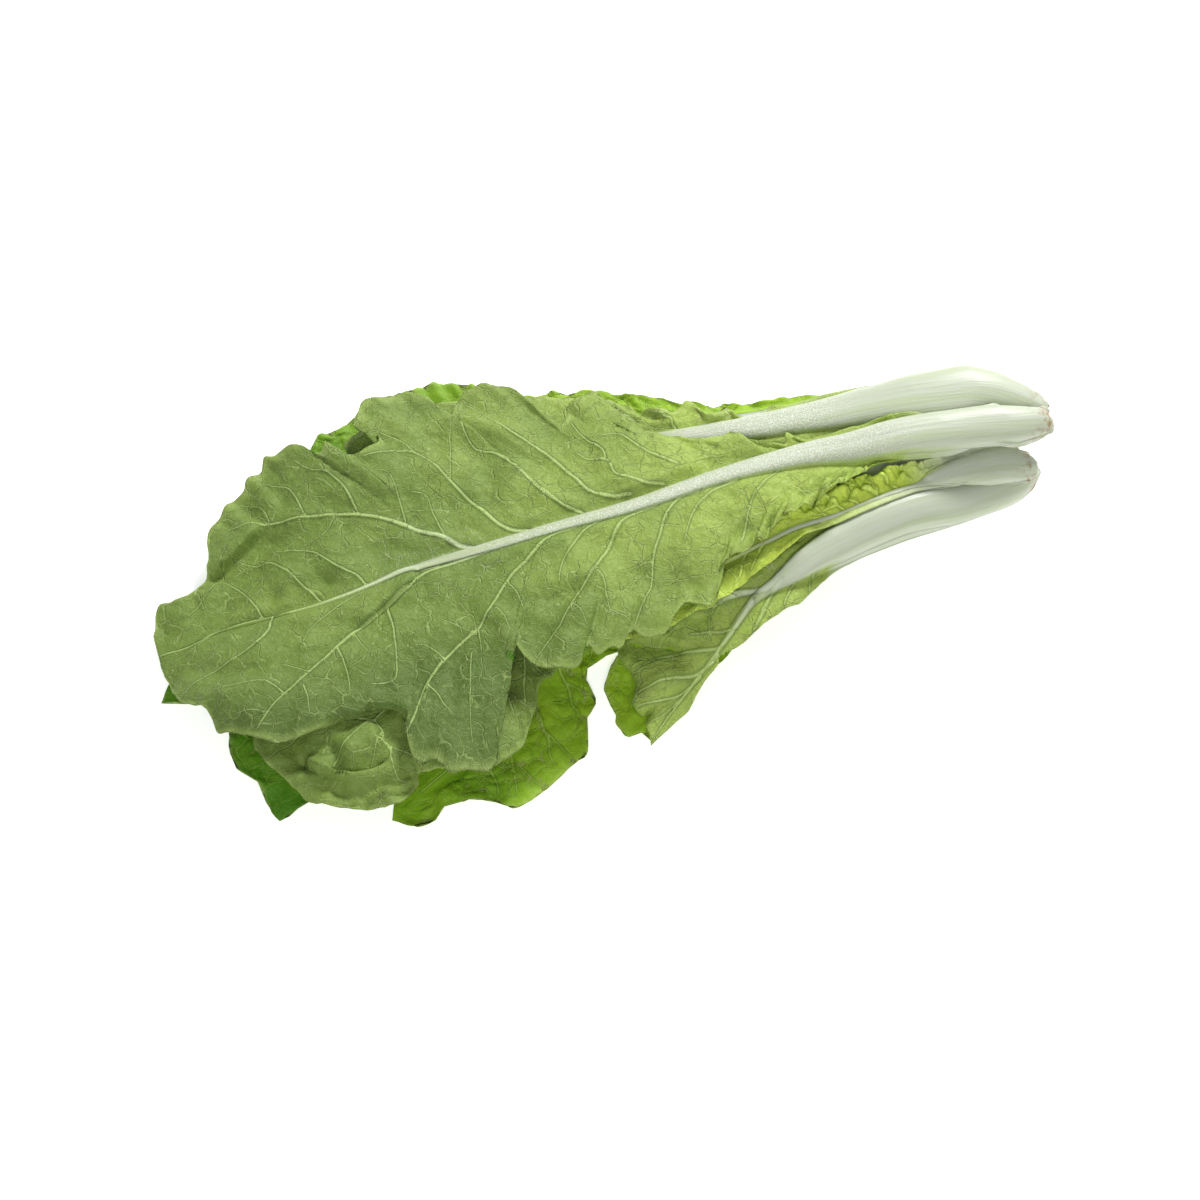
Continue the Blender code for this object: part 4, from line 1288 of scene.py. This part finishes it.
            -43.6, 154.8, -46.8, 160, -52.2, 165.3, -53.5, 169.3, -53, 171.5, -50.4, 174.4, -52.6,
            177.7, -56.3, 181.5, -55.2, 185.9, -56.7, 188.9, -52.4, 192.6, -58, 196, -59.2, 203.1,
            -58.6, 207.5, -56, 210.5, -52, 212, -47.5, 214, -45.4, 217, -48.5, 219.3, -52, 218,
            -57.5, 221, -64, 226, -69, 227, -78, 229, -85, 232.5, -89, 239.7, -87.5, 243.2, -87.9,
            246, -87.6, 248.4, -83, 251, -80.5, 256.3, -80.5, 257.2, -75, 257.2, -69, 256.2, -64.6,
            260.1, -60.8, 267.5, -58.3, 274, -60.1, 279.5, -59.2, 285, -59.2, 290.1, -60.7, 295.5,
            -61.6, 300.7, -61.4, 306, -59.2, 311.1, -55.7, 314.5, -52.7, 320, -50.5, 321.2, -43.5,
            323.1, -38.5, 329.6, -33.4, 332.3, -27.5, 333.6, -20.2, 334.8, -13.7),
        taper=path(0, 1, 0.12, 0.98, 0.18, 0.86, 0.28, 0.64, 0.39, 0.48, 0.51, 0.37, 0.645, 0.28,
            0.72, 0.2, 0.8, 0.13, 0.9, 0.09, 1, 0.06),
        creases=[
            (path(287, 33, 295.7, 27.4, 301.2, 24, 306.6, 20.6, 313, 17.5), 3.5, 14, 2.0, 10),
            (path(238, -3.6, 244.2, -11, 254.2, -17.4, 266.8, -25.2), 2.2, 9, 1.6, 6),
        ],
        swells=[
            (path(184, -24, 194, -36, 204, -46, 212, -50), -2.2, 4.0),
            (path(214, -30, 216, -40, 214, -50), 1.6, 4.0),
            (path(80, 10.5, 110, 9.5, 150, 7.5), -1.6, 4.0),
            (path(222, -28, 240, -42, 262, -52), 1.2, 7.0),
            (path(262, 2, 280, -1, 300, 2), -1.5, 5.0),
            (path(292, -22, 312, -14, 326, -18), 1.4, 7.0),
            (path(200, 18, 226, 16, 246, 10), -1.6, 7.0),
            (path(186, 34, 200, 48, 222, 58), 1.2, 6.0),
        ],
        curls=[(-1, (268, -58.6), 20.0, 6.0, -2.4), (-1, (222, -62), 14.0, 5.0, -1.6)],
        frills=[
            (-1, (62, -9), 24.0, 2.6, 4.0, 0.1),
            (-1, (96, -17), 24.0, 3.2, 5.0, 0.35),
            (-1, (126, -30), 22.0, 3.4, 6.0, 0.45),
            (1, (112, 20), 40.0, 1.2, 7.0, 0.4),
        ],
        heel=(0.45, 16.0, 0.5), tip=(335, -8.5), stalk=7.9, back_up=True, rows=400, side=90,
        coarse=2, period=11.0, waves=2.4, teeth=0.6, veins=TOP_VEINS, grown=0.0,
        shade=(60.0, 250.0), near_shade=0.6, white=(0.66, 0.82), sparkle=(40.0, 235.0),
    ),
]


def add_core(pile):
    """The cut stem, hidden below the stalks: its CAD solid, with a finish of its own."""
    corners, facing = node_triangles("stem_core")
    pile.raise_to(samples(corners[facing > 0], CORE_SAMPLES))
    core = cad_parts["stem_core"].data
    core.materials.clear()
    core.materials.append(stem_material())


def add_lamp(name, place, size, power):
    """A round soft light that points at the middle of the head."""
    data = bpy.data.lights.new(name, "AREA")
    data.shape = "DISK"
    data.size = size
    data.energy = power
    lamp = bpy.data.objects.new(name, data)
    lamp.location = place
    lamp.rotation_euler = (-Vector(place)).to_track_quat("-Z", "Y").to_euler()
    bpy.context.scene.collection.objects.link(lamp)


def set_stage():
    """A plain pale floor, soft lights and the camera."""
    bpy.ops.mesh.primitive_plane_add(size=FLOOR_SIZE, location=(0, 0, FLOOR_Z))
    floor = bpy.context.object
    floor.name = "floor"
    s = Shader("floor_looks")
    where = s.node("ShaderNodeTexCoord").outputs["Object"]
    colour = s.mix(s.noise(3.0, where), COLOUR["floor"], COLOUR["floor_patch"])
    s.put(s.surface.inputs["Base Color"], colour)
    s.surface.inputs["Roughness"].default_value = 0.8
    s.surface.inputs["Emission Color"].default_value = (1.0, 1.0, 1.0, 1.0)
    s.surface.inputs["Emission Strength"].default_value = FLOOR_GLOW
    floor.data.materials.append(s.material)

    world = bpy.data.worlds.new("studio")
    world.use_nodes = True
    sky = world.node_tree.nodes["Background"]
    sky.inputs["Color"].default_value = (1.0, 1.0, 1.0, 1.0)
    sky.inputs["Strength"].default_value = SKY_STRENGTH
    bpy.context.scene.world = world
    for name, (place, size, power) in LAMPS.items():
        add_lamp(name, place, size, power)

    camera = bpy.data.objects.new("camera", bpy.data.cameras.new("camera"))
    camera.data.lens, camera.data.sensor_width = LENS, SENSOR_WIDTH
    camera.location = CAMERA_PLACE
    camera.rotation_euler = Vector(CAMERA_AIM).to_track_quat("-Z", "Y").to_euler()
    bpy.context.scene.collection.objects.link(camera)
    bpy.context.scene.camera = camera
    bpy.context.scene.view_settings.view_transform = "Standard"


def main():
    materials = {slot: leaf_material(slot + "_looks", tint) for slot, tint in TINTS.items()}
    pile = Pile()
    for leaf in BELOW:
        build_leaf(leaf, pile, materials)
    add_core(pile)
    for leaf in ABOVE:
        build_leaf(leaf, pile, materials)
    set_stage()


main()
